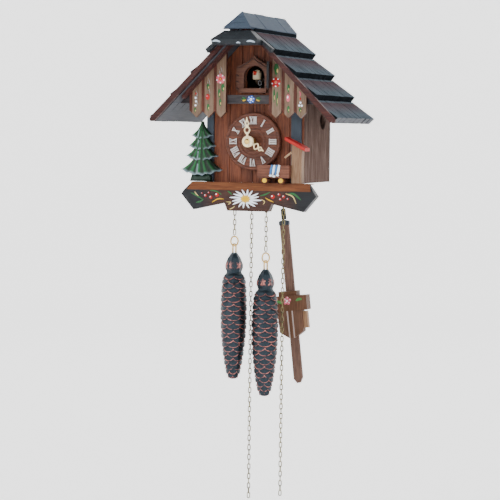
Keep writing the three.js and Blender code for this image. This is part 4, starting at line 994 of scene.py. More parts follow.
def plate_with_hole(wall, x, ys, zs, hole, ring):
    """A flat face at x with a round hole in it."""
    hole_y, hole_z, hole_r = hole
    points, outer = [], []
    for i in range(ring):
        a = 2 * math.pi * i / ring
        c, s = math.cos(a), math.sin(a)
        points.append((x, hole_y + hole_r * c, hole_z + hole_r * s))
        reach_y = ((ys[1] if c > 0 else ys[0]) - hole_y) / c if abs(c) > 1e-6 else 1e9
        reach_z = ((zs[1] if s > 0 else zs[0]) - hole_z) / s if abs(s) > 1e-6 else 1e9
        reach = min(reach_y, reach_z)
        outer.append((x, hole_y + reach * c, hole_z + reach * s))
    corners = [(x, y, z) for y in ys for z in zs]
    for corner in corners:
        nearest = min(range(ring), key=lambda i: math.dist(outer[i], corner))
        outer[nearest] = corner
    wall.add(points + outer, [[i, (i + 1) % ring, ring + (i + 1) % ring, ring + i] for i in range(ring)], 0)


def strips_beside_hole(a, b, bottom, top, hole_y, hole_z, hole_r):
    """The parts of one upright board above and below the hole."""
    if b <= hole_y - hole_r or a >= hole_y + hole_r:
        return [((bottom, bottom), (top, top), a, b)]
    parts = []
    count = 6
    for i in range(count):
        ya, yb = a + (b - a) * i / count, a + (b - a) * (i + 1) / count
        ha = math.sqrt(max(0.0, hole_r ** 2 - (ya - hole_y) ** 2))
        hb = math.sqrt(max(0.0, hole_r ** 2 - (yb - hole_y) ** 2))
        parts.append(((bottom, bottom), (hole_z - ha, hole_z - hb), ya, yb))
        parts.append(((hole_z + ha, hole_z + hb), (top, top), ya, yb))
    return parts


# ---------------------------------------------------------------- carved front

class CLOCK_OT_gable(bpy.types.Operator):
    """Finishes the bargeboards and slats and paints the small flowers on them"""

    bl_idname = "clock.gable"
    bl_label = "Gable"

    def execute(self, context):
        barge = stained_wood(
            "red_brown_stained_bargeboard", (*colours().barge, 1), rgba("#251010"), GRAIN_ACROSS, 1.2)
        dress(["bargeboard_left", "bargeboard_right"], barge, 0.7)
        gable = stained_wood("dark_red_gable_board", rgba("#4e2925"), rgba("#2c1816"), GRAIN_ACROSS, 1.6)
        dress(["gable_board"], gable, 0.5)
        tan = stained_wood(
            "tan_stained_slats", rgba("#7a6755"), rgba("#533e31"), GRAIN_UP, 1.2, edge=rgba("#3e1e16"))
        dress([f"slat_{i}" for i in range(1, 7)], tan, 0.6)
        edge = stained_wood("red_brown_stained_slat_edges", rgba("#5a2c20"), rgba("#32170f"), GRAIN_UP, 1.0)
        make_piece("slat_edges", slat_edges(), [edge], "case", bevel=0.2)
        beam = brushed_paint("charcoal_beam_paint", (*colours().charcoal, 1), rgba("#52494b"), GRAIN_ACROSS)
        dress(["cross_beam"], beam, 0.8)
        make_piece("gable_flowers", gable_flowers(), flower_paints(), "case", smooth=True)
        return {"FINISHED"}


def slat_edges():
    """The stained battens that close the gap on each slat's left."""
    edges = Carving()
    for number in range(1, 7):
        low, high = spans(f"slat_{number}")
        left, right = low.x - 1.85, low.x + 1.3
        foot = low.z + 5.7
        edges.slab([(left, foot + 1.4), (right, foot - 1.3), (right, underside(right) - 2.2),
                    (left, underside(left) - 2.2)], low.y - 0.3, high.y - 0.6)
    return edges


WHITE, GREEN, PINK, RED, YELLOW, BLUE, CREAM, SLAT_HIGHLIGHT = range(8)


def flower_paints():
    """The painter's palette, in the order of the finish numbers above."""
    return [
        relief_paint("white_acrylic_petals", (*colours().petal, 1)),
        relief_paint("leaf_green_acrylic", rgba("#21542b")),
        relief_paint("rose_pink_acrylic", rgba("#bb5362")),
        relief_paint("red_berry_acrylic", (*colours().berry, 1)),
        relief_paint("yellow_ochre_acrylic", rgba("#c39600")),
        relief_paint("cornflower_blue_acrylic", rgba("#2350a0")),
        relief_paint("cream_acrylic_strokes", rgba("#b9a467")),
        # pale blue-grey for the painted highlight on the upper left of the left slats
        relief_paint("pale_blue_grey_painted_highlight", rgba("#8f999c"), 0.5),
    ]


def blossom(paint, x, z, radius, face, outer, inner, petals=5, core=YELLOW):
    """Petals round a core, each a spot drawn in towards the middle."""
    for i in range(petals):
        a = 2 * math.pi * (i + 0.25) / petals
        paint.dab(x + 0.55 * radius * math.cos(a), z + 0.55 * radius * math.sin(a),
                  0.44 * radius, 0.44 * radius, face, outer, rise=0.45, steps=12)
    paint.dab(x, z, 0.36 * radius, 0.36 * radius, face - 0.3, inner, rise=0.4, steps=12)
    paint.dab(x, z, 0.17 * radius, 0.17 * radius, face - 0.6, core, rise=0.3, steps=10)


def gable_flowers():
    """The flowers, sprigs and dots on the six slats and the beam, and painted highlights on the left slats.
    """
    paint = Carving()
    slat = spans("slat_1")[0].y
    beam = spans("cross_beam")[0].y
    for x, z, outer, inner in ((-30.0, 62.9, PINK, RED), (29.3, 59.5, RED, PINK)):
        blossom(paint, x, z, 5.3, slat, outer, inner)
        for i in range(5):
            a = 2 * math.pi * (i + 0.75) / 5
            paint.dab(x + 3.9 * math.cos(a), z + 3.9 * math.sin(a), 0.75, 0.75, slat - 0.35, WHITE, steps=8)
    leafage = (
        (-27.4, 54.4, 2.0, 3.6), (-31.4, 49.0, 1.3, 4.2), (-30.2, 39.6, 1.4, 3.6), (-43.5, 55.4, 1.5, 3.0),
        (-43.2, 34.6, 1.5, 3.2), (-57.4, 31.6, 1.2, 2.2), (29.6, 73.4, 2.6, 5.4), (27.6, 47.0, 1.0, 6.4),
        (30.8, 44.0, 1.1, 7.2), (42.6, 54.2, 1.5, 3.6), (42.9, 33.2, 1.4, 3.2), (55.4, 32.4, 1.5, 2.2),
    )
    for x, z, half_x, half_z in leafage:
        paint.dab(x, z, half_x, half_z, slat, GREEN, rise=0.35, steps=12, tip=0.4)
        paint.dab(x + 0.5 * half_x, z - 0.4 * half_z, 0.35 * half_x, 0.4 * half_z, slat - 0.3, CREAM, steps=8)
    paint.dab(-43.8, 44.6, 2.3, 3.1, slat, RED, rise=0.5)
    paint.dab(-44.4, 45.4, 0.9, 1.2, slat - 0.4, PINK, rise=0.3, steps=10)
    paint.dab(42.6, 44.0, 2.2, 3.9, slat, PINK, rise=0.5)
    paint.dab(42.2, 44.8, 0.8, 1.6, slat - 0.4, WHITE, rise=0.3, steps=10)
    for x, z in ((-57.0, 43.6), (-56.5, 40.0), (-57.0, 36.0), (55.6, 39.4), (54.4, 36.6), (57.0, 36.4)):
        paint.dab(x, z, 1.15, 1.15, slat, WHITE, steps=10)
    for x, z in ((55.4, 43.2), (-56.6, 48.0)):
        paint.dab(x, z, 1.0, 1.2, slat, RED, steps=10)
    paint.stroke([(54.2, 51), (55.4, 48), (54.9, 45)], 0.7, slat, PINK)
    # painted highlight: pale blue-grey strokes down the lit upper left of the three left slats, beside the
    # roof's shadow
    for x, top in ((-30, 78), (-43, 66), (-56, 54)):
        for i in range(4):
            shift = 1.1 * math.sin(2.3 * i + x)
            start = top - 3 * i
            path = [(x + shift - 2, start), (x + shift, start - 6), (x + shift + 1, start - 11)]
            paint.stroke(path, 0.8, slat + 0.25, SLAT_HIGHLIGHT, rise=0.3)
    blossom(paint, 1.5, 42.4, 4.3, beam, BLUE, WHITE, petals=6)
    for i in range(6):
        a = 2 * math.pi * (i + 0.25) / 6
        paint.dab(1.5 + 2.9 * math.cos(a), 42.4 + 2.9 * math.sin(a), 0.55, 0.55, beam - 0.35, WHITE, steps=8)
    for x, turn in ((-4.0, -1), (7.0, 1)):
        for rise, reach, finish in ((2.2, 4.0, GREEN), (0.2, 5.4, GREEN), (-1.4, 3.8, YELLOW)):
            path = [(x, 42.2), (x + 0.5 * turn * reach, 42.4 + 0.7 * rise), (x + turn * reach, 42.4 + rise)]
            paint.stroke(path, 0.75, beam, finish)
    return paint


# ---------------------------------------------------------------- window and bird

class CLOCK_OT_window(bpy.types.Operator):
    """Finishes the carved window, its open door and the bird"""

    bl_idname = "clock.window"
    bl_label = "Window and bird"

    def execute(self, context):
        frame_wood = stained_wood(
            "mid_brown_stained_window_frame", rgba("#714b3a"), rgba("#432b24"), GRAIN_ACROSS, 1.0)
        dress(["window_frame"], frame_wood, 0.7)
        dress(["cuckoo_door"], brushed_paint("black_door_paint", rgba("#0f1012"), rgba("#26282c")), 0.4)
        # dark brown strokes laid on the carving's cut lines and notches as painted shade
        dark = relief_paint("dark_brown_painted_groove_shade", rgba("#3b2620"), 0.45)
        make_piece("window_painted_groove_shade", window_painted_groove_shade(), [dark], "case", smooth=True)
        finishes = [
            relief_paint("cream_lacquered_bird", rgba("#b5a689"), 0.3),
            relief_paint("red_lacquered_beak", rgba("#b8322a"), 0.3),
            relief_paint("black_lacquered_eye", rgba("#101013"), 0.2),
            worn_metal("thin_iron_wire", "#8f8f92", "#5f5e60", 0.3),
            relief_paint("dark_brown_bird_body_painted_shade", rgba("#3a2c22"), 0.35),
        ]
        make_piece("painted_bird", painted_bird(), finishes, "cuckoo", ["cuckoo_bird"],
                   smooth=True)
        dress(["bird_arm"], finishes[3])
        return {"FINISHED"}


def window_painted_groove_shade():
    """Painted shade: dark strokes on the cut lines that follow the frame's pointed arch, and on the notches
    beside the opening.
    """
    paint = Carving()
    face = spans("window_frame")[0].y
    for side in (1, -1):
        arch = [(side * x, z) for x, z in ((0.2, 84.4), (5.0, 80.2), (10.5, 77.2), (16.5, 74.0))]
        paint.stroke(arch, 0.7, face)
        for z in (67.0, 60.4, 53.6):
            paint.stroke([(side * 18.6, z + 0.4), (side * 16.6, z), (side * 15.2, z - 1.2)], 0.75, face)
    return paint


def painted_bird():
    """A small carved cuckoo: rounded body, dark as painted shade under the blocky head, open beak, eye and
    the wire under it.
    """
    low, high = spans("cuckoo_bird")
    bird = Carving()
    # the body under the head is dark brown: painted shade under the cream head
    bird.ball((0.6, (low.y + high.y) / 2 + 4.0, 61.8), (3.8, 9.6, 4.6), 4)
    head = Vector((1.3, low.y + 10.0, 67.9))
    bird.ball(head, (4.3, 4.2, 5.2), 0)
    bird.block((head.x - 3.6, head.y - 3.4, head.z - 5.0), (head.x + 3.6, head.y + 3.4, head.z + 3.6), 0)
    for lift in (1, -1):
        rows = []
        for reach, radius in ((3.0, 2.3), (5.6, 1.4), (7.8, 0.25)):
            middle = Vector((head.x - 1.2, head.y - reach, head.z + 1.4 + 0.45 * lift * reach * 0.5))
            rows.append([(middle.x + radius * math.cos(a), middle.y, middle.z + 0.6 * radius * math.sin(a))
                         for a in (2 * math.pi * i / 12 for i in range(12))])
        bird.grid(rows, 1, closed=True)
    for side in (1, -1):
        bird.ball((head.x + side * 3.4, head.y - 2.6, head.z + 2.6), (0.9, 0.9, 0.9), 2, steps=12)
    tail = [(-2.2, 60.4), (2.2, 60.4), (1.7, 62.2), (-1.7, 62.2)]
    bird.slab(tail, high.y - 8.0, high.y, 4)
    loop = [(3.4 + 1.6 * math.cos(a), low.y + 12.0, 59.4 + 2.6 * math.sin(a))
            for a in (2 * math.pi * i / 16 for i in range(16))]
    bird.tube(loop, 0.32, 8, 3, closed=True)
    return bird


# ---------------------------------------------------------------- dial and hands

class CLOCK_OT_dial(bpy.types.Operator):
    """Turns the dial, sets its numerals and makes the two pierced hands"""

    bl_idname = "clock.dial"
    bl_label = "Dial and hands"

    def execute(self, context):
        wood = stained_wood(
            "dark_brown_turned_dial", rgba("#663c2c"), rgba("#38211b"), GRAIN_ACROSS, 1.2, gloss=0.42)
        make_piece("turned_dial", turned_dial(), [wood], "case", ["dial"], smooth=True)
        bone = moulded_plastic("bone_styrene_numerals", rgba("#b4aeac"), rgba("#978f8c"))
        make_piece("numerals", numerals(), [bone], "case", bevel=0.12)
        ivory = moulded_plastic("bone_styrene_hands", (*colours().hand, 1), rgba("#bba47a"))
        make_piece("pierced_minute_hand", pierced_hand("minute_hand", -2.0, 24.5, 6.6), [ivory], "minute",
                   ["minute_hand"], bevel=0.15)
        make_piece("pierced_hour_hand", pierced_hand("hour_hand", 120.0, 19.0, 7.2), [ivory], "hour",
                   ["hour_hand"], bevel=0.15)
        dress(["hand_nut"], worn_metal("polished_brass_nut", "#d8b56a", "#a98a4c", 0.22), 0.3)
        return {"FINISHED"}


def turned_dial():
    """The turned disc: a raised rim, a shallow field for the numerals and three turned rings."""
    low, high = spans("dial")
    r, face = high.x, low.y
    back = high.y
    dial = Carving()
    dial.spun([(0.0, back), (r - 0.6, back), (r, back - 0.8), (r, face + 1.3), (r - 0.5, face + 0.4),
               (r - 1.4, face), (r - 2.6, face + 0.2), (r - 3.3, face + 1.2), (r - 4.0, face + 1.5),
               (16.2, face + 1.5), (15.4, face + 0.7), (14.6, face + 0.5), (13.8, face + 0.8),
               (13.2, face + 1.7), (12.4, face + 1.8), (11.6, face + 0.9), (10.6, face + 0.7),
               (9.6, face + 1.1), (9.0, face + 1.8), (2.2, face + 1.8), (2.2, back)],
              (0.0, 0.0), steps=96)
    return dial


ROMAN = ("XII", "I", "II", "III", "IIII", "V", "VI", "VII", "VIII", "IX", "X", "XI")


def numerals():
    """Twelve separate numerals, each standing with its foot to the middle."""
    ring = Carving()
    tall = in_mm(sizes().numeral)
    face = spans("dial")[0].y + 1.6
    radius = 21.4
    for hour, text in enumerate(ROMAN):
        around = math.radians(90 - 30 * hour)

        def lay(u, v, w, around=around):
            out, along = radius + v, u
            return (out * math.cos(around) + along * math.sin(around), w,
                    out * math.sin(around) - along * math.cos(around))

        bars = numeral_bars(text, tall)
        for path in bars:
            ring.slab(path, face - 1.15, face + 0.1, 0, lambda x, y, z, lay=lay: lay(x, z, y))
    return ring


def numeral_bars(text, tall):
    """The outlines of one numeral's bars, centred on its own middle."""
    thick, thin, room = 1.25, 0.6, 0.62
    widths = {"I": 1.3, "V": 3.6, "X": 3.7}
    total = sum(widths[c] for c in text) + room * (len(text) - 1)
    x = -total / 2
    half = tall / 2
    bars = []
    for c in text:
        w = widths[c]
        if c == "I":
            bars.append([(x, -half), (x + thick, -half), (x + thick, half), (x, half)])
            span = (x - 0.3, x + thick + 0.3)
            bars += serifs(span, half, (1, -1))
        elif c == "V":
            bars.append([(x, half), (x + thick, half), (x + w / 2 + 0.5, -half), (x + w / 2 - 0.5, -half)])
            bars.append([(x + w - thin, half), (x + w, half), (x + w / 2 + 0.35, -half),
                         (x + w / 2 - 0.25, -half)])
            bars += serifs((x - 0.3, x + w + 0.3), half, (1,))
        else:
            bars.append([(x, half), (x + thick, half), (x + w, -half), (x + w - thick, -half)])
            bars.append([(x + w - thin, half), (x + w, half), (x + thin, -half), (x, -half)])
            bars += serifs((x - 0.25, x + w + 0.25), half, (1, -1))
        x += w + room
    return bars


def serifs(span, half, ends):
    """The short bars across a numeral's ends."""
    return [[(span[0], end * half - 0.3), (span[1], end * half - 0.3), (span[1], end * half + 0.3),
             (span[0], end * half + 0.3)] for end in ends]


def pierced_hand(node, degrees, reach, wide):
    """A carved hand: hub with a hole, a leaf pierced by two teardrops and a small point."""
    low, high = spans(node)
    front, back = low.y, high.y
    hub, hole = 5.7, 1.75 if node == "minute_hand" else 4.05
    a = math.radians(90 - degrees)

    def lay(u, y, v):
        return (v * math.cos(a) + u * math.sin(a), y, v * math.sin(a) - u * math.cos(a))

    hand = Carving()
    steps = 32
    rows = []
    for r, y in ((hole, back), (hub, back), (hub, front + 0.25), (hub - 0.5, front),
                 (hub - 1.2, front - 0.25), (hole + 0.3, front - 0.25), (hole, front), (hole, back)):
        rows.append([lay(r * math.cos(2 * math.pi * i / steps), y, r * math.sin(2 * math.pi * i / steps))
                     for i in range(steps)])
    hand.grid(rows, 0, closed=True)
    neck = hub - 0.6
    body = reach - neck
    sections = [(0.0, 1.3), (0.10, 1.0), (0.18, 2.2), (0.30, wide / 2), (0.40, wide / 2 - 0.2), (0.50, 1.7),
                (0.56, 1.5), (0.66, 2.4), (0.74, 2.1), (0.84, 1.0), (0.92, 0.75), (1.0, 0.2)]
    line = [(neck + s * body, w) for s, w in sections]
    smooth = smooth_line(line, 44)
    holes = ((0.33, 0.115, wide / 2 - 1.25), (0.68, 0.06, 1.1))
    for side in (1, -1):
        outline = []
        inner = []
        for v, w in smooth:
            s = (v - neck) / body
            cut = 0.0
            for middle, length, half in holes:
                t = (s - middle) / length
                if abs(t) < 1:
                    cut = max(cut, half * math.sqrt(1 - t * t))
            outline.append((side * max(w, cut + 0.35), v))
            inner.append((side * (cut if cut > 0.12 else 0.0), v))
        for (x0, v0), (x1, v1), (i0, _), (i1, _) in zip(outline, outline[1:], inner, inner[1:]):
            quad = [(i0, v0), (x0, v0), (x1, v1), (i1, v1)]
            hand.slab(quad, front, back, 0, lay)
    return hand


# ---------------------------------------------------------------- fir tree

class CLOCK_OT_tree(bpy.types.Operator):
    """Carves the fir tree in its four tiers and paints it"""

    bl_idname = "clock.tree"
    bl_label = "Fir tree"

    def execute(self, context):
        paint = carved_colour("layered_green_tree_paint")
        make_piece("carved_fir_tree", carved_tree(), [paint], "case", ["fir_tree"],
                   smooth=True, paint="paint")
        return {"FINISHED"}


# Each tier's height at its top and at its tips, and its half width at both.
TREE_TIERS = (
    (19.9, 4.6, 1.2, 12.0), (9.5, -6.3, 4.4, 15.0), (-2.0, -17.0, 6.0, 17.8), (-13.0, -31.5, 7.4, 22.6),
)


def carved_tree():
    """Four skirts of branches, each over the next, fluted down their length and turned up at the tips."""
    low, high = spans("fir_tree")
    x_mid = (low.x + high.x) / 2
    back = high.y
    tree = Carving()
    for number, (top, tip, neck, half) in enumerate(TREE_TIERS):
        front_top = low.y + 4.6 - 1.0 * number
        front_low = low.y + 3.2 - 1.1 * number
        rows, values = [], []
        depth, wide = 14, 28
        for i in range(depth + 1):
            s = i / depth
            row = []
            for j in range(wide + 1):
                t = -1 + 2 * j / wide
                flare = neck + (half - neck) * s ** 1.55
                branch = 0.5 + 0.5 * math.cos(2 * math.pi * 2.5 * t + 0.4 * number)
                sag = (0.75 * abs(t) ** 2.2 - 0.55 * (1 - branch)) * (1.7 + 0.5 * number)
                z = top + (tip - top) * (s ** 0.9) + (top - tip) * 0.16 * s * (1 - abs(t) ** 1.6) * -1
                z += s ** 2 * (sag + 0.5)
                bulge = math.cos(t * math.pi / 2) ** 0.6
                flute = 0.8 * s * math.cos(2 * math.pi * 2.5 * t + 0.4 * number + 0.9 * s)
                y = back - (back - (front_top + (front_low - front_top) * s)) * (0.35 + 0.65 * bulge) - flute
                row.append((x_mid + flare * t, y, z))
                values.append(tree_tone(s, t, branch, x_mid + flare * t))
            rows.append(row)
        rows, values = close_back(rows, values, back)
        tree.grid(rows, 0, closed=True, values=values)
        cap_ends(tree, rows)
    foot = [(x_mid - 9, -34.0), (x_mid + 9, -34.0), (x_mid + 11.5, low.z + 0.3), (x_mid - 11.5, low.z + 0.3)]
    start = len(tree.points)
    tree.slab(foot[::-1], low.y + 2.4, back)
    for i in range(start, len(tree.points)):
        tree.values[i] = linear_mix("#1c3428", "#14241d", 0.5)
    return tree


def close_back(rows, values, back):
    """Adds each row's two points on the flat back, so that the skin closes."""
    wide = len(rows[0])
    new_rows, new_values = [], []
    for i, row in enumerate(rows):
        tones = values[i * wide:(i + 1) * wide]
        new_rows.append([(row[0][0], back, row[0][2]), *row, (row[-1][0], back, row[-1][2])])
        new_values += [tones[0], *tones, tones[-1]]
    return new_rows, new_values


def cap_ends(shape, rows):
    """Closes the top and bottom of a skin."""
    wide = len(rows[0])
    start = len(shape.points) - wide * len(rows)
    shape.faces.append(list(range(start, start + wide)))
    shape.faces.append(list(range(len(shape.points) - wide, len(shape.points)))[::-1])
    shape.finishes.extend([0, 0])


def linear_mix(first, second, share):
    """A linear colour part of the way from one hex colour to another."""
    a, b = linear(first), linear(second)
    return tuple(p + (q - p) * share for p, q in zip(a, b))


def tree_tone(s, t, branch, x):
    """Green with lighter strokes on the ridges, blue-white at the lower edges, darker to the right as painted
    shade.
    """
    base = colours().tree
    dark, light, snow = linear("#050b09"), linear("#1f7a3c"), linear("#a3b8c6")
    # painted shade: the tree's right half is darkened towards the dark green
    shade = 0.75 * max(0.0, t) ** 0.6
    tone = [b + (d - b) * shade for b, d in zip(base, dark)]
    stroke = max(0.0, branch - 0.55) * 1.5 * (1 - abs(s - 0.6)) * (1.0 - 0.75 * max(0.0, t))
    tone = [c + (q - c) * min(1.0, stroke) for c, q in zip(tone, light)]
    # painted shade also dims the strokes above and the blue-white lower edges on the right
    edge = max(0.0, (s - 0.9) / 0.1) * (0.75 if t < 0.2 else 0.45)
    strip = max(0.0, 1 - abs(x + 57.5 + 1.5 * s) / 1.1) * (0.6 if s > 0.45 else 0.0)
    lit = min(1.0, max(edge, strip))
    return tuple(c + (q - c) * lit for c, q in zip(tone, snow))


# ---------------------------------------------------------------- fountain and base

class CLOCK_OT_fountain(bpy.types.Operator):
    """Finishes the fountain with its water, and paints the trough's feet"""

    bl_idname = "clock.fountain"
    bl_label = "Fountain"

    def execute(self, context):
        rough = stained_wood("rough_brown_trough", rgba("#6f4433"), rgba("#44281f"), GRAIN_ACROSS, 1.1)
        dress(["trough"], rough, 0.7)
        planed = stained_wood("tan_fountain_post", rgba("#876b51"), rgba("#5d4434"), GRAIN_UP, 1.1)
        dress(["fountain_post"], planed, 0.5)
        turned = stained_wood("tan_spout", rgba("#b59a7a"), rgba("#8a6a50"), GRAIN_ACROSS, 0.8)
        dress(["fountain_spout"], turned, 0.4)
        red = brushed_paint("red_roof_paint", (*colours().berry, 1), rgba("#7d1f1b"), GRAIN_BACK)
        dress(["fountain_roof"], red, 0.6)
        finishes = [
            relief_paint("blue_water_paint", rgba("#36699e"), 0.25),
            relief_paint("white_foam_paint", rgba("#dfe6ec"), 0.25),
            relief_paint("yellow_end_grain_paint", rgba("#cda200"), 0.35),
        ]
        make_piece("painted_water", painted_water(), finishes, "case", smooth=True)
        return {"FINISHED"}


def painted_water():
    """Water that runs over the trough's edge, its foam, and the yellow ends of the trough's feet."""
    low, _ = spans("trough")
    face = low.y + 1.2
    water = Carving()
    strands = ((24.0, 0), (26.6, 1), (29.2, 0), (31.6, 1))
    for x, finish in strands:
        water.stroke([(x + 1.2, -23.2), (x + 0.4, -27.5), (x - 0.8, -33.6)], 1.35, face, finish, rise=1.3,
                     ends=(0.8, 0.5))
    for x, z in ((23.6, -34.0), (27.2, -34.6), (31.0, -33.6)):
        water.dab(x, z, 1.7, 1.2, face, 1, rise=1.2, steps=12)
    for x in (17.6, 34.9):
        water.dab(x, -39.0, 2.9, 2.6, low.y + 0.3, 2, rise=0.6)
    return water


class CLOCK_OT_base(bpy.types.Operator):
    """Finishes the base board and paints its flower, berries and leaves"""

    bl_idname = "clock.base"
    bl_label = "Base board"

    def execute(self, context):
        dress(["base_board"], shaded_base("shaded_base_paint"), 0.9)
        make_piece("base_flowers", base_flowers(), flower_paints(), "case", smooth=True)
        chamfer = stained_wood(
            "brown_chamfer_strip", rgba("#7d5036"), rgba("#523428"), GRAIN_ACROSS, 1.2, shine=0.0)
        make_piece("base_chamfer", base_chamfer(), [chamfer], "case", bevel=0.3)
        return {"FINISHED"}


def shaded_base(name):
    """Paint on the base board, rubbed thin in the middle so that the red-brown stain shows and dense
    and blue-black towards both ends."""
    material, tree, shader = new_material(name, IOR=1.48, **{"Specular IOR Level": 0.2})
    grain = add_node(tree, NOISE, {
        "Vector": stretched_place(tree, GRAIN_ACROSS, 12), "Scale": fine(1.4), "Detail": 6,
        "Roughness": 0.65})
    cloud = add_node(tree, NOISE, {
        "Vector": whole_place(tree), "Scale": fine(14), "Detail": 4, "Roughness": 0.55})
    ragged = add_node(
        tree, MATH, {0: cloud, 1: 24 * MM, 2: from_middle(tree)}, operation="MULTIPLY_ADD")
    grained = add_node(tree, RANGE, {0: grain, 1: 0.3, 2: 0.7})
    outward = add_node(tree, RANGE, {0: ragged, 1: 46 * MM, 2: 66 * MM})
    charcoal = (*colours().charcoal, 1)
    middle = add_node(tree, MIX, {0: grained, 6: rgba("#241512"), 7: rgba("#3d241c")}, data_type="RGBA")
    ends = add_node(tree, MIX, {0: grained, 6: charcoal, 7: rgba("#181b1f")}, data_type="RGBA")
    tone = add_node(tree, MIX, {0: outward, 6: middle, 7: ends}, data_type="RGBA")
    rough = add_node(tree, RANGE, {0: grain, 1: 0.3, 2: 0.7, 3: 0.55, 4: 0.35})
    bump = add_node(tree, BUMP, {"Height": grain, "Distance": 0.14 * MM, "Strength": 0.5})
    set_sockets(tree, shader, {"Base Color": tone, "Roughness": rough, "Normal": bump})
    return material


def base_chamfer():
    """The stained strip along the top of the base board."""
    low, high = spans("base_board")
    strip = Carving()
    strip.add([(-64.0, low.y + 6.4, -42.1), (64.0, low.y + 6.4, -42.1), (66.6, low.y - 0.15, -49.4),
               (-66.6, low.y - 0.15, -49.4), (-64.0, low.y + 7.4, -43.1), (64.0, low.y + 7.4, -43.1),
               (66.6, low.y + 0.9, -50.2), (-66.6, low.y + 0.9, -50.2)],
              [[0, 3, 2, 1], [4, 5, 6, 7], [0, 1, 5, 4], [1, 2, 6, 5], [2, 3, 7, 6], [3, 0, 4, 7]], 0)
    strip.block((-64.0, low.y + 6.0, -42.7), (64.0, high.y - 0.2, -41.96))
    return strip


def base_flowers():
    """The white daisy with its golden middle, berries with painted highlights to each side and loose brush
    strokes.
    """
    paint = Carving()
    face = spans("base_board")[0].y
    x0, z0 = -2.5, -58.1
    count = sizes().petals
    for i in range(count):
        a = 2 * math.pi * (i + 0.5) / count
        c, s = math.cos(a), math.sin(a)
        reach_x, reach_z = 15.0 + 2.4 * (i % 2), 9.6
        paint.stroke([(x0 + 4.4 * c, z0 + 3.0 * s), (x0 + 0.55 * reach_x * c, z0 + 0.6 * reach_z * s),
                      (x0 + reach_x * c - 1.2 * s, z0 + reach_z * s + 0.8 * c)], 1.02, face, WHITE, rise=0.7,
                     ends=(0.5, 0.25), steps=12)
    for i in range(9):
        a = 2 * math.pi * (i + 0.3) / 9
        c, s = math.cos(a), math.sin(a)
        paint.stroke([(x0 + 4.0 * c, z0 + 2.8 * s), (x0 + 9.4 * c, z0 + 5.4 * s)], 0.6, face - 0.55, WHITE,
                     rise=0.4, ends=(0.5, 0.3), steps=8)
    paint.dab(x0, z0, 5.4, 3.9, face - 0.3, YELLOW, rise=1.0)
    for i in range(10):
        a = 2 * math.pi * i / 10
        x, z = x0 + 3.6 * math.cos(a), z0 + 2.5 * math.sin(a)
        paint.dab(x, z, 0.6, 0.5, face - 0.9, CREAM, rise=0.4, steps=8)
    berries = (
        (-50, -53.3, 1.0), (-46.1, -55.6, 1.9), (-42.5, -52.6, 1.2), (-40.1, -57.3, 2.1), (-33.5, -54.6, 2.7),
        (26.7, -55.3, 2.8), (33.4, -53.0, 1.8), (34.9, -57.8, 1.6), (38.3, -55.0, 2.0), (42.7, -57.2, 1.3),
    )
    for x, z, full in berries:
        r = 0.82 * full
        paint.dab(x, z, r, r, face, RED, rise=0.8, steps=14)
        # a white dot on each berry's upper left: a painted highlight
        paint.dab(x - 0.25 * r, z + 0.3 * r, 0.36 * r + 0.1, 0.3 * r + 0.1, face - 0.62, WHITE, rise=0.3,
                  steps=8)
    strokes = (
        ([(-58, -51.8), (-56.4, -54.0), (-53.6, -56.6)], 1.1, CREAM),
        ([(-62, -53), (-56, -55.8), (-48, -60)], 1.5, GREEN),
        ([(-56.6, -63), (-52, -61.8), (-48, -59.5)], 1.5, GREEN),
        ([(-41.5, -50.3), (-34.5, -51.0), (-28.3, -54.4)], 1.4, GREEN),
        ([(-39, -62.5), (-32.5, -58.8), (-25.5, -58.8)], 1.0, YELLOW),
        ([(-22, -50.6), (-19.6, -52.0), (-16.7, -54.7)], 1.4, GREEN),
        ([(-24, -61.5), (-18.5, -62), (-21.5, -64.5)], 0.9, CREAM),
        ([(-20, -69.0), (-16.8, -67.8), (-13.8, -65.6)], 0.9, CREAM),
        ([(18.4, -56.4), (22.6, -58.6), (27.8, -60.8)], 1.0, YELLOW),
        ([(12.9, -54.7), (18.4, -53.2), (24, -50.6)], 1.4, GREEN),
        ([(14, -58), (18, -60.3), (16.3, -63.5)], 0.9, CREAM),
        ([(42.2, -52.3), (49.5, -52.3), (56.7, -58)], 2.0, GREEN),
        ([(40, -51.8), (47.8, -54.6), (51.7, -61.9)], 1.1, CREAM),
    )
    for path, half, finish in strokes:
        paint.stroke(path, 0.62 * half, face, finish, rise=0.5)
    return paint


# ---------------------------------------------------------------- movement

class CLOCK_OT_movement(bpy.types.Operator):
    """Finishes the plates, wheels, bellows, hammer and gong inside the case"""

    bl_idname = "clock.movement"
    bl_label = "Movement"

    def execute(self, context):
        brass = worn_metal("stamped_brass_plate", "#c9a765", "#94784a", 0.3)
        steel = worn_metal("drawn_steel", "#9c9da0", "#66676b", 0.34)
        paper = stained_wood("beech_and_kid_bellows", rgba("#c2a27c"), rgba("#94724f"), GRAIN_UP, 1.2)
        finishes = (
            (brass, ["plate_back", "plate_front", "going_chain_wheel", "strike_chain_wheel",
                     "centre_wheel", "escape_wheel", "cannon_pinion", "minute_wheel", "hour_wheel",
                     "weight_ring_left", "weight_ring_right"]),
            (steel, ["anchor", "gong", "strike_hammer"]),
            (paper, ["bellows_left", "bellows_right", "bellows_lid_left", "bellows_lid_right"]),
        )
        for material, nodes in finishes:
            dress(nodes, material, 0.12)
        return {"FINISHED"}


# ---------------------------------------------------------------- pendulum

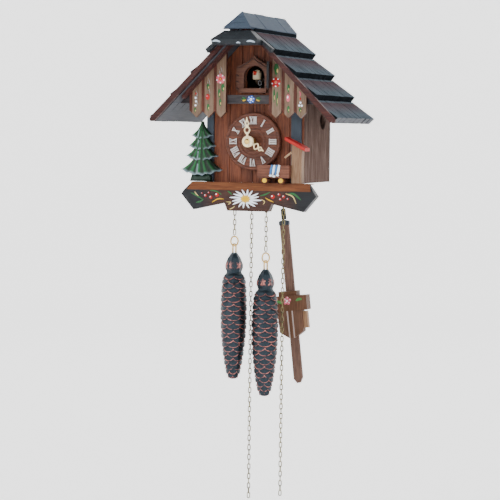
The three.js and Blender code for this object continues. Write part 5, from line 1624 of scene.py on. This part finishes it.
class CLOCK_OT_pendulum(bpy.types.Operator):
    """Shapes the pendulum's rod and its bob, carved like a little house"""

    bl_idname = "clock.pendulum"
    bl_label = "Pendulum"

    def execute(self, context):
        rod = stained_wood("red_brown_pendulum_rod", rgba("#6c5246"), rgba("#48342d"), GRAIN_UP, 0.9)
        cap = brushed_paint("blue_black_pendulum_paint", rgba("#20252d"), rgba("#3d4652"))
        wire = worn_metal("blackened_steel_leader", "#2a2c2f", "#141517", 0.35)
        make_piece("shaped_pendulum_rod", pendulum_rod(), [rod, cap, wire], "pendulum", ["pendulum_rod"],
                   bevel=0.25)
        bob = stained_wood("brown_carved_bob", rgba("#624332"), rgba("#40291a"), GRAIN_UP, 1.0)
        paints = [bob, stained_wood("tan_bob_block", rgba("#a08063"), rgba("#73553f"), GRAIN_UP, 1.0),
                  relief_paint("pale_painted_highlight_stripes", rgba("#9b8c86"), 0.4),
                  relief_paint("bob_pink_flower_paint", rgba("#c0566b")),
                  relief_paint("bob_green_leaf_paint", rgba("#3f7a3c")),
                  relief_paint("bob_white_dots_paint", rgba("#e2dcd8"))]
        make_piece("carved_pendulum_bob", pendulum_bob(), paints, "pendulum", ["pendulum_bob"],
                   bevel=0.4)
        return {"FINISHED"}


def hanging(x, y, z):
    """From the pendulum's own upright frame, its pivot at the origin, to where it hangs."""
    return (x * math.cos(TILT) - z * math.sin(TILT) + HINGE.x, y,
            x * math.sin(TILT) + z * math.cos(TILT) + HINGE.z)


def pendulum_rod():
    """The flat wooden rod with its dark cap, the steel leader and the eye it hangs by."""
    front = HINGE.y - 1.5
    back = front + 3.0
    rod = Carving()
    half = 5.0
    top, end, point = -124.4, -293.0, 6.0
    rod.slab([(-half, top), (-half + 0.8, top + 1.2), (half - 0.8, top + 1.2), (half, top),
              (half, end + point), (2.2, end + 0.6), (-1.6, end), (-half, end + 0.8 * point)],
             front, back, 0, hanging)
    rod.slab([(-5.5, top - 0.6), (-5.5, top + 3.6), (0.0, top + 5.0), (5.5, top + 3.6), (5.5, top - 0.6)],
             front - 0.7, back + 0.5, 1, hanging)
    rod.slab([(-2.7, -119.0), (2.7, -119.0), (2.7, -108.6), (1.6, -107.5), (-1.6, -107.5), (-2.7, -108.6)],
             HINGE.y - 0.35, HINGE.y + 0.35, 2, hanging)
    rod.tube([hanging(0, HINGE.y, z) for z in (-110.0, -80.0, -40.0, -2.2)], 0.6, 10, 2)
    eye = [hanging(2.1 * math.cos(a), HINGE.y, 0.2 + 2.1 * math.sin(a))
           for a in (2 * math.pi * i / 18 for i in range(18))]
    rod.tube(eye, 0.55, 8, 2, closed=True)
    rod.tube([hanging(0.0, HINGE.y - 2.3, -113.0), hanging(0.0, HINGE.y + 1.2, -113.0)], 0.8, 10, 2)
    return rod


def pendulum_bob():
    """Block, cross beam with its flower, and the faceted body under it, with painted highlights on two
    facets.
    """
    low, high = spans("pendulum_bob")
    front, back = low.y, high.y
    bob = Carving()
    top = -195.0
    bob.slab([(-12, top), (8, top), (8, top - 5), (-12, top - 5)], front + 1.6, back, 0, hanging)
    bob.slab([(-18.8, top - 5), (18.8, top - 5), (18.8, top - 20.6), (-18.8, top - 20.6)],
             front, back - 0.6, 0, hanging)
    body_top, side_low, middle_low = top - 20.6, top - 43.5, top - 49.4
    # the two narrow facets (finish 2) are pale: painted highlights on the bevels
    section = ((-16.4, 4.4, 0.0), (-4.4, 0.5, 1.0), (-2.8, 0.5, 1.0), (1.2, 0.5, 1.0), (2.6, 0.5, 0.9),
               (11.4, 4.8, 0.0))
    for (xa, ya, ca), (xb, yb, cb), finish in zip(section, section[1:], (0, 2, 0, 2, 0)):
        za = side_low + (middle_low - side_low) * ca
        zb = side_low + (middle_low - side_low) * cb
        corners = [(xa, front + ya, body_top), (xb, front + yb, body_top),
                   (xb * 0.94, front + yb + 0.6, zb), (xa * 0.94, front + ya + 0.6, za)]
        corners += [(x, back, z) for x, _, z in corners]
        bob.add([hanging(*c) for c in corners],
                [[0, 3, 2, 1], [4, 5, 6, 7], [0, 1, 5, 4], [1, 2, 6, 5], [2, 3, 7, 6], [3, 0, 4, 7]], finish)
    bob.slab([(9.0, top - 22.4), (15.6, top - 22.4), (15.6, top - 40.0), (9.0, top - 40.0)],
             front + 8.4, back, 1, hanging)
    flower_x, flower_z = 14.8, -167.8
    for i in range(5):
        a = 2 * math.pi * i / 5 + 0.3
        x, z = flower_x + 2.9 * math.cos(a), flower_z + 2.9 * math.sin(a)
        bob.dab(x, z, 1.75, 1.75, front, 3, rise=0.5, steps=12)
        bob.dab(x + 0.7, z + 0.7, 0.6, 0.6, front - 0.4, 5, rise=0.3, steps=8)
    bob.dab(flower_x, flower_z, 1.2, 1.2, front - 0.35, 5, rise=0.4, steps=12)
    for x, z, turn in ((28.0, -166.2, 1), (6.0, -170.3, -1)):
        bob.stroke([(x - 3.4, z - 1.2 * turn), (x, z + 0.8), (x + 3.4, z + 0.8 * turn)], 1.6, front, 4)
    return bob


# ---------------------------------------------------------------- weights

class CLOCK_OT_weights(bpy.types.Operator):
    """Casts the two pine cones, scale by scale, with their wire bails"""

    bl_idname = "clock.weights"
    bl_label = "Pine cone weights"

    def execute(self, context):
        iron = bronzed_iron("copper_rubbed_cast_iron")
        brass = worn_metal("bright_brass_wire", "#c8a563", "#8f7444", 0.26)
        for node, body in (("weight_left", "going_weight"), ("weight_right", "strike_weight")):
            cone = pine_cone(node)
            make_piece(f"cast_{node}", cone, [iron], body, [node], smooth=False, paint="raised")
            bail = wire_bail(node)
            make_piece(f"bail_{node}", bail, [brass], body, smooth=True)
        return {"FINISHED"}


def cone_radius(share):
    """How far the cone's core reaches at a share of its length from the top."""
    line = [(0.0, 2.6), (0.05, 6.3), (0.105, 8.8), (0.15, 6.6), (0.175, 9.4), (0.25, 11.3), (0.40, 12.2),
            (0.55, 12.1), (0.675, 11.2), (0.825, 8.9), (0.925, 6.6), (0.98, 4.4), (1.0, 2.6)]
    for (s0, r0), (s1, r1) in zip(line, line[1:]):
        if share <= s1:
            return r0 + (r1 - r0) * (share - s0) / (s1 - s0)
    return line[-1][1]


def pine_cone(node):
    """A cone's core, its bud and its rows of overlapping scales."""
    low, high = spans(node)
    x0, y0 = (low.x + high.x) / 2, (low.y + high.y) / 2
    top, bottom = high.z - 10.0, low.z
    length = top - bottom
    cone = Carving()
    steps = 36
    stations = 60
    rings = [(cone_radius(i / stations), top - length * i / stations) for i in range(stations + 1)]
    profile = [(0.05, top), *rings, (0.05, bottom)]
    cone.spun(profile, (x0, y0), axis="Z", steps=steps, values=[0.05] * (len(profile) * steps))
    facets = sizes().cone_scales
    for i in range(facets):
        cap_facet(cone, (x0, y0), 2 * math.pi * i / facets, math.pi / facets, top, length)
    row = in_mm(sizes().cone_row)
    start = top - 0.155 * length
    count = int((start - bottom - 3.0) / row)
    for r in range(count + 1):
        for i in range(facets):
            a = 2 * math.pi * (i + 0.5 * (r % 2)) / facets + 0.35
            scale(cone, (x0, y0), a, start - r * row + 1.4, 1.75 * row, length, top, bottom)
    return cone


def cap_facet(cone, middle, around, half_angle, top, length):
    """One flat facet of the bud at the cone's top."""
    x0, y0 = middle
    rows, values = [], []
    for share, glow in ((0.0, 0.15), (0.04, 0.45), (0.09, 0.95), (0.115, 0.95), (0.155, 0.2)):
        r = cone_radius(share) + (1.1 if 0.02 < share < 0.15 else 0.4)
        a0, a1 = around - half_angle, around + half_angle
        z = top - share * length
        rows.append([(x0 + r * math.cos(a0), y0 + r * math.sin(a0), z),
                     (x0 + r * math.cos(a1), y0 + r * math.sin(a1), z)])
        values += [glow, glow]
    cone.grid(rows, 0, values=values)


def scale(cone, middle, around, z_high, drop, length, top, bottom):
    """One broad overlapping scale: it leaves the core at its top, widens, and ends in a raised lip that
    is lowest in the middle."""
    x0, y0 = middle
    half_angle = 1.12 * math.pi / sizes().cone_scales
    rows, values = [], []
    steps = (0.0, 0.3, 0.55, 0.75, 0.88, 0.95, 1.0)
    across = (-1, -0.75, -0.5, -0.25, 0.0, 0.25, 0.5, 0.75, 1)
    for s in steps:
        row = []
        for t in across:
            z = z_high - drop * s * (1 - 0.4 * abs(t) ** 2.6)
            z = max(z, bottom + 0.2)
            core = cone_radius(min(1.0, max(0.0, (top - z) / length)))
            r = core + 0.15 + 1.9 * s ** 2.2 - 0.5 * abs(t) ** 2 * s
            a = around + half_angle * t * (0.8 + 0.2 * s)
            row.append((x0 + r * math.cos(a), y0 + r * math.sin(a), z))
            values.append(max(0.05, min(1.0, (s - 0.8) / 0.15)))
        rows.append(row)
    lip = [(x0 + (x - x0) * 0.82, y0 + (y - y0) * 0.82, z + 0.5) for x, y, z in rows[-1]]
    rows.append(lip)
    values += [0.1] * len(across)
    cone.grid([row[::-1] for row in rows], 0, values=values)


def wire_bail(node):
    """The wire loop cast into the cone's top, where the ring hangs."""
    low, high = spans(node)
    x0, y0 = (low.x + high.x) / 2, (low.y + high.y) / 2
    bail = Carving()
    path = [(x0 - 1.7, y0, high.z - 13.0), (x0 - 1.7, y0, high.z - 6.0)]
    path += [(x0 - 1.7 * math.cos(a), y0, high.z - 2.5 + 1.7 * math.sin(a))
             for a in (math.pi * i / 10 for i in range(11))]
    path += [(x0 + 1.7, y0, high.z - 6.0), (x0 + 1.7, y0, high.z - 13.0)]
    bail.tube(path, 0.8, 10)
    return bail


# ---------------------------------------------------------------- panel and running order

PIECES = (
    CLOCK_OT_stage, CLOCK_OT_chains, CLOCK_OT_roof, CLOCK_OT_case, CLOCK_OT_gable, CLOCK_OT_window,
    CLOCK_OT_dial, CLOCK_OT_tree, CLOCK_OT_fountain, CLOCK_OT_base, CLOCK_OT_movement,
    CLOCK_OT_pendulum, CLOCK_OT_weights,
)


class CLOCK_PT_pieces(bpy.types.Panel):
    """Everything that can be made, in the order it is made"""

    bl_label = "Cuckoo clock"
    bl_idname = "CLOCK_PT_pieces"
    bl_space_type = "VIEW_3D"
    bl_region_type = "UI"
    bl_category = "Cuckoo clock"

    def draw(self, context):
        column = self.layout.column()
        for operator in PIECES:
            column.operator(operator.bl_idname)
        for group in (context.scene.clock_sizes, context.scene.clock_colours):
            box = self.layout.box()
            for name in group.__annotations__:
                box.prop(group, name)


def register():
    """Makes the settings, the operators and the panel known to Blender."""
    for kind in (ClockSizes, ClockColours, *PIECES, CLOCK_PT_pieces):
        bpy.utils.register_class(kind)
    bpy.types.Scene.clock_sizes = PointerProperty(type=ClockSizes)
    bpy.types.Scene.clock_colours = PointerProperty(type=ClockColours)


def unregister():
    """Takes away what register added."""
    del bpy.types.Scene.clock_colours
    del bpy.types.Scene.clock_sizes
    for kind in (CLOCK_PT_pieces, *reversed(PIECES), ClockColours, ClockSizes):
        bpy.utils.unregister_class(kind)


def main():
    """Makes every piece in order."""
    register()
    for operator in PIECES:
        family, action = operator.bl_idname.split(".")
        getattr(getattr(bpy.ops, family), action)()


if __name__ == "__main__":
    main()
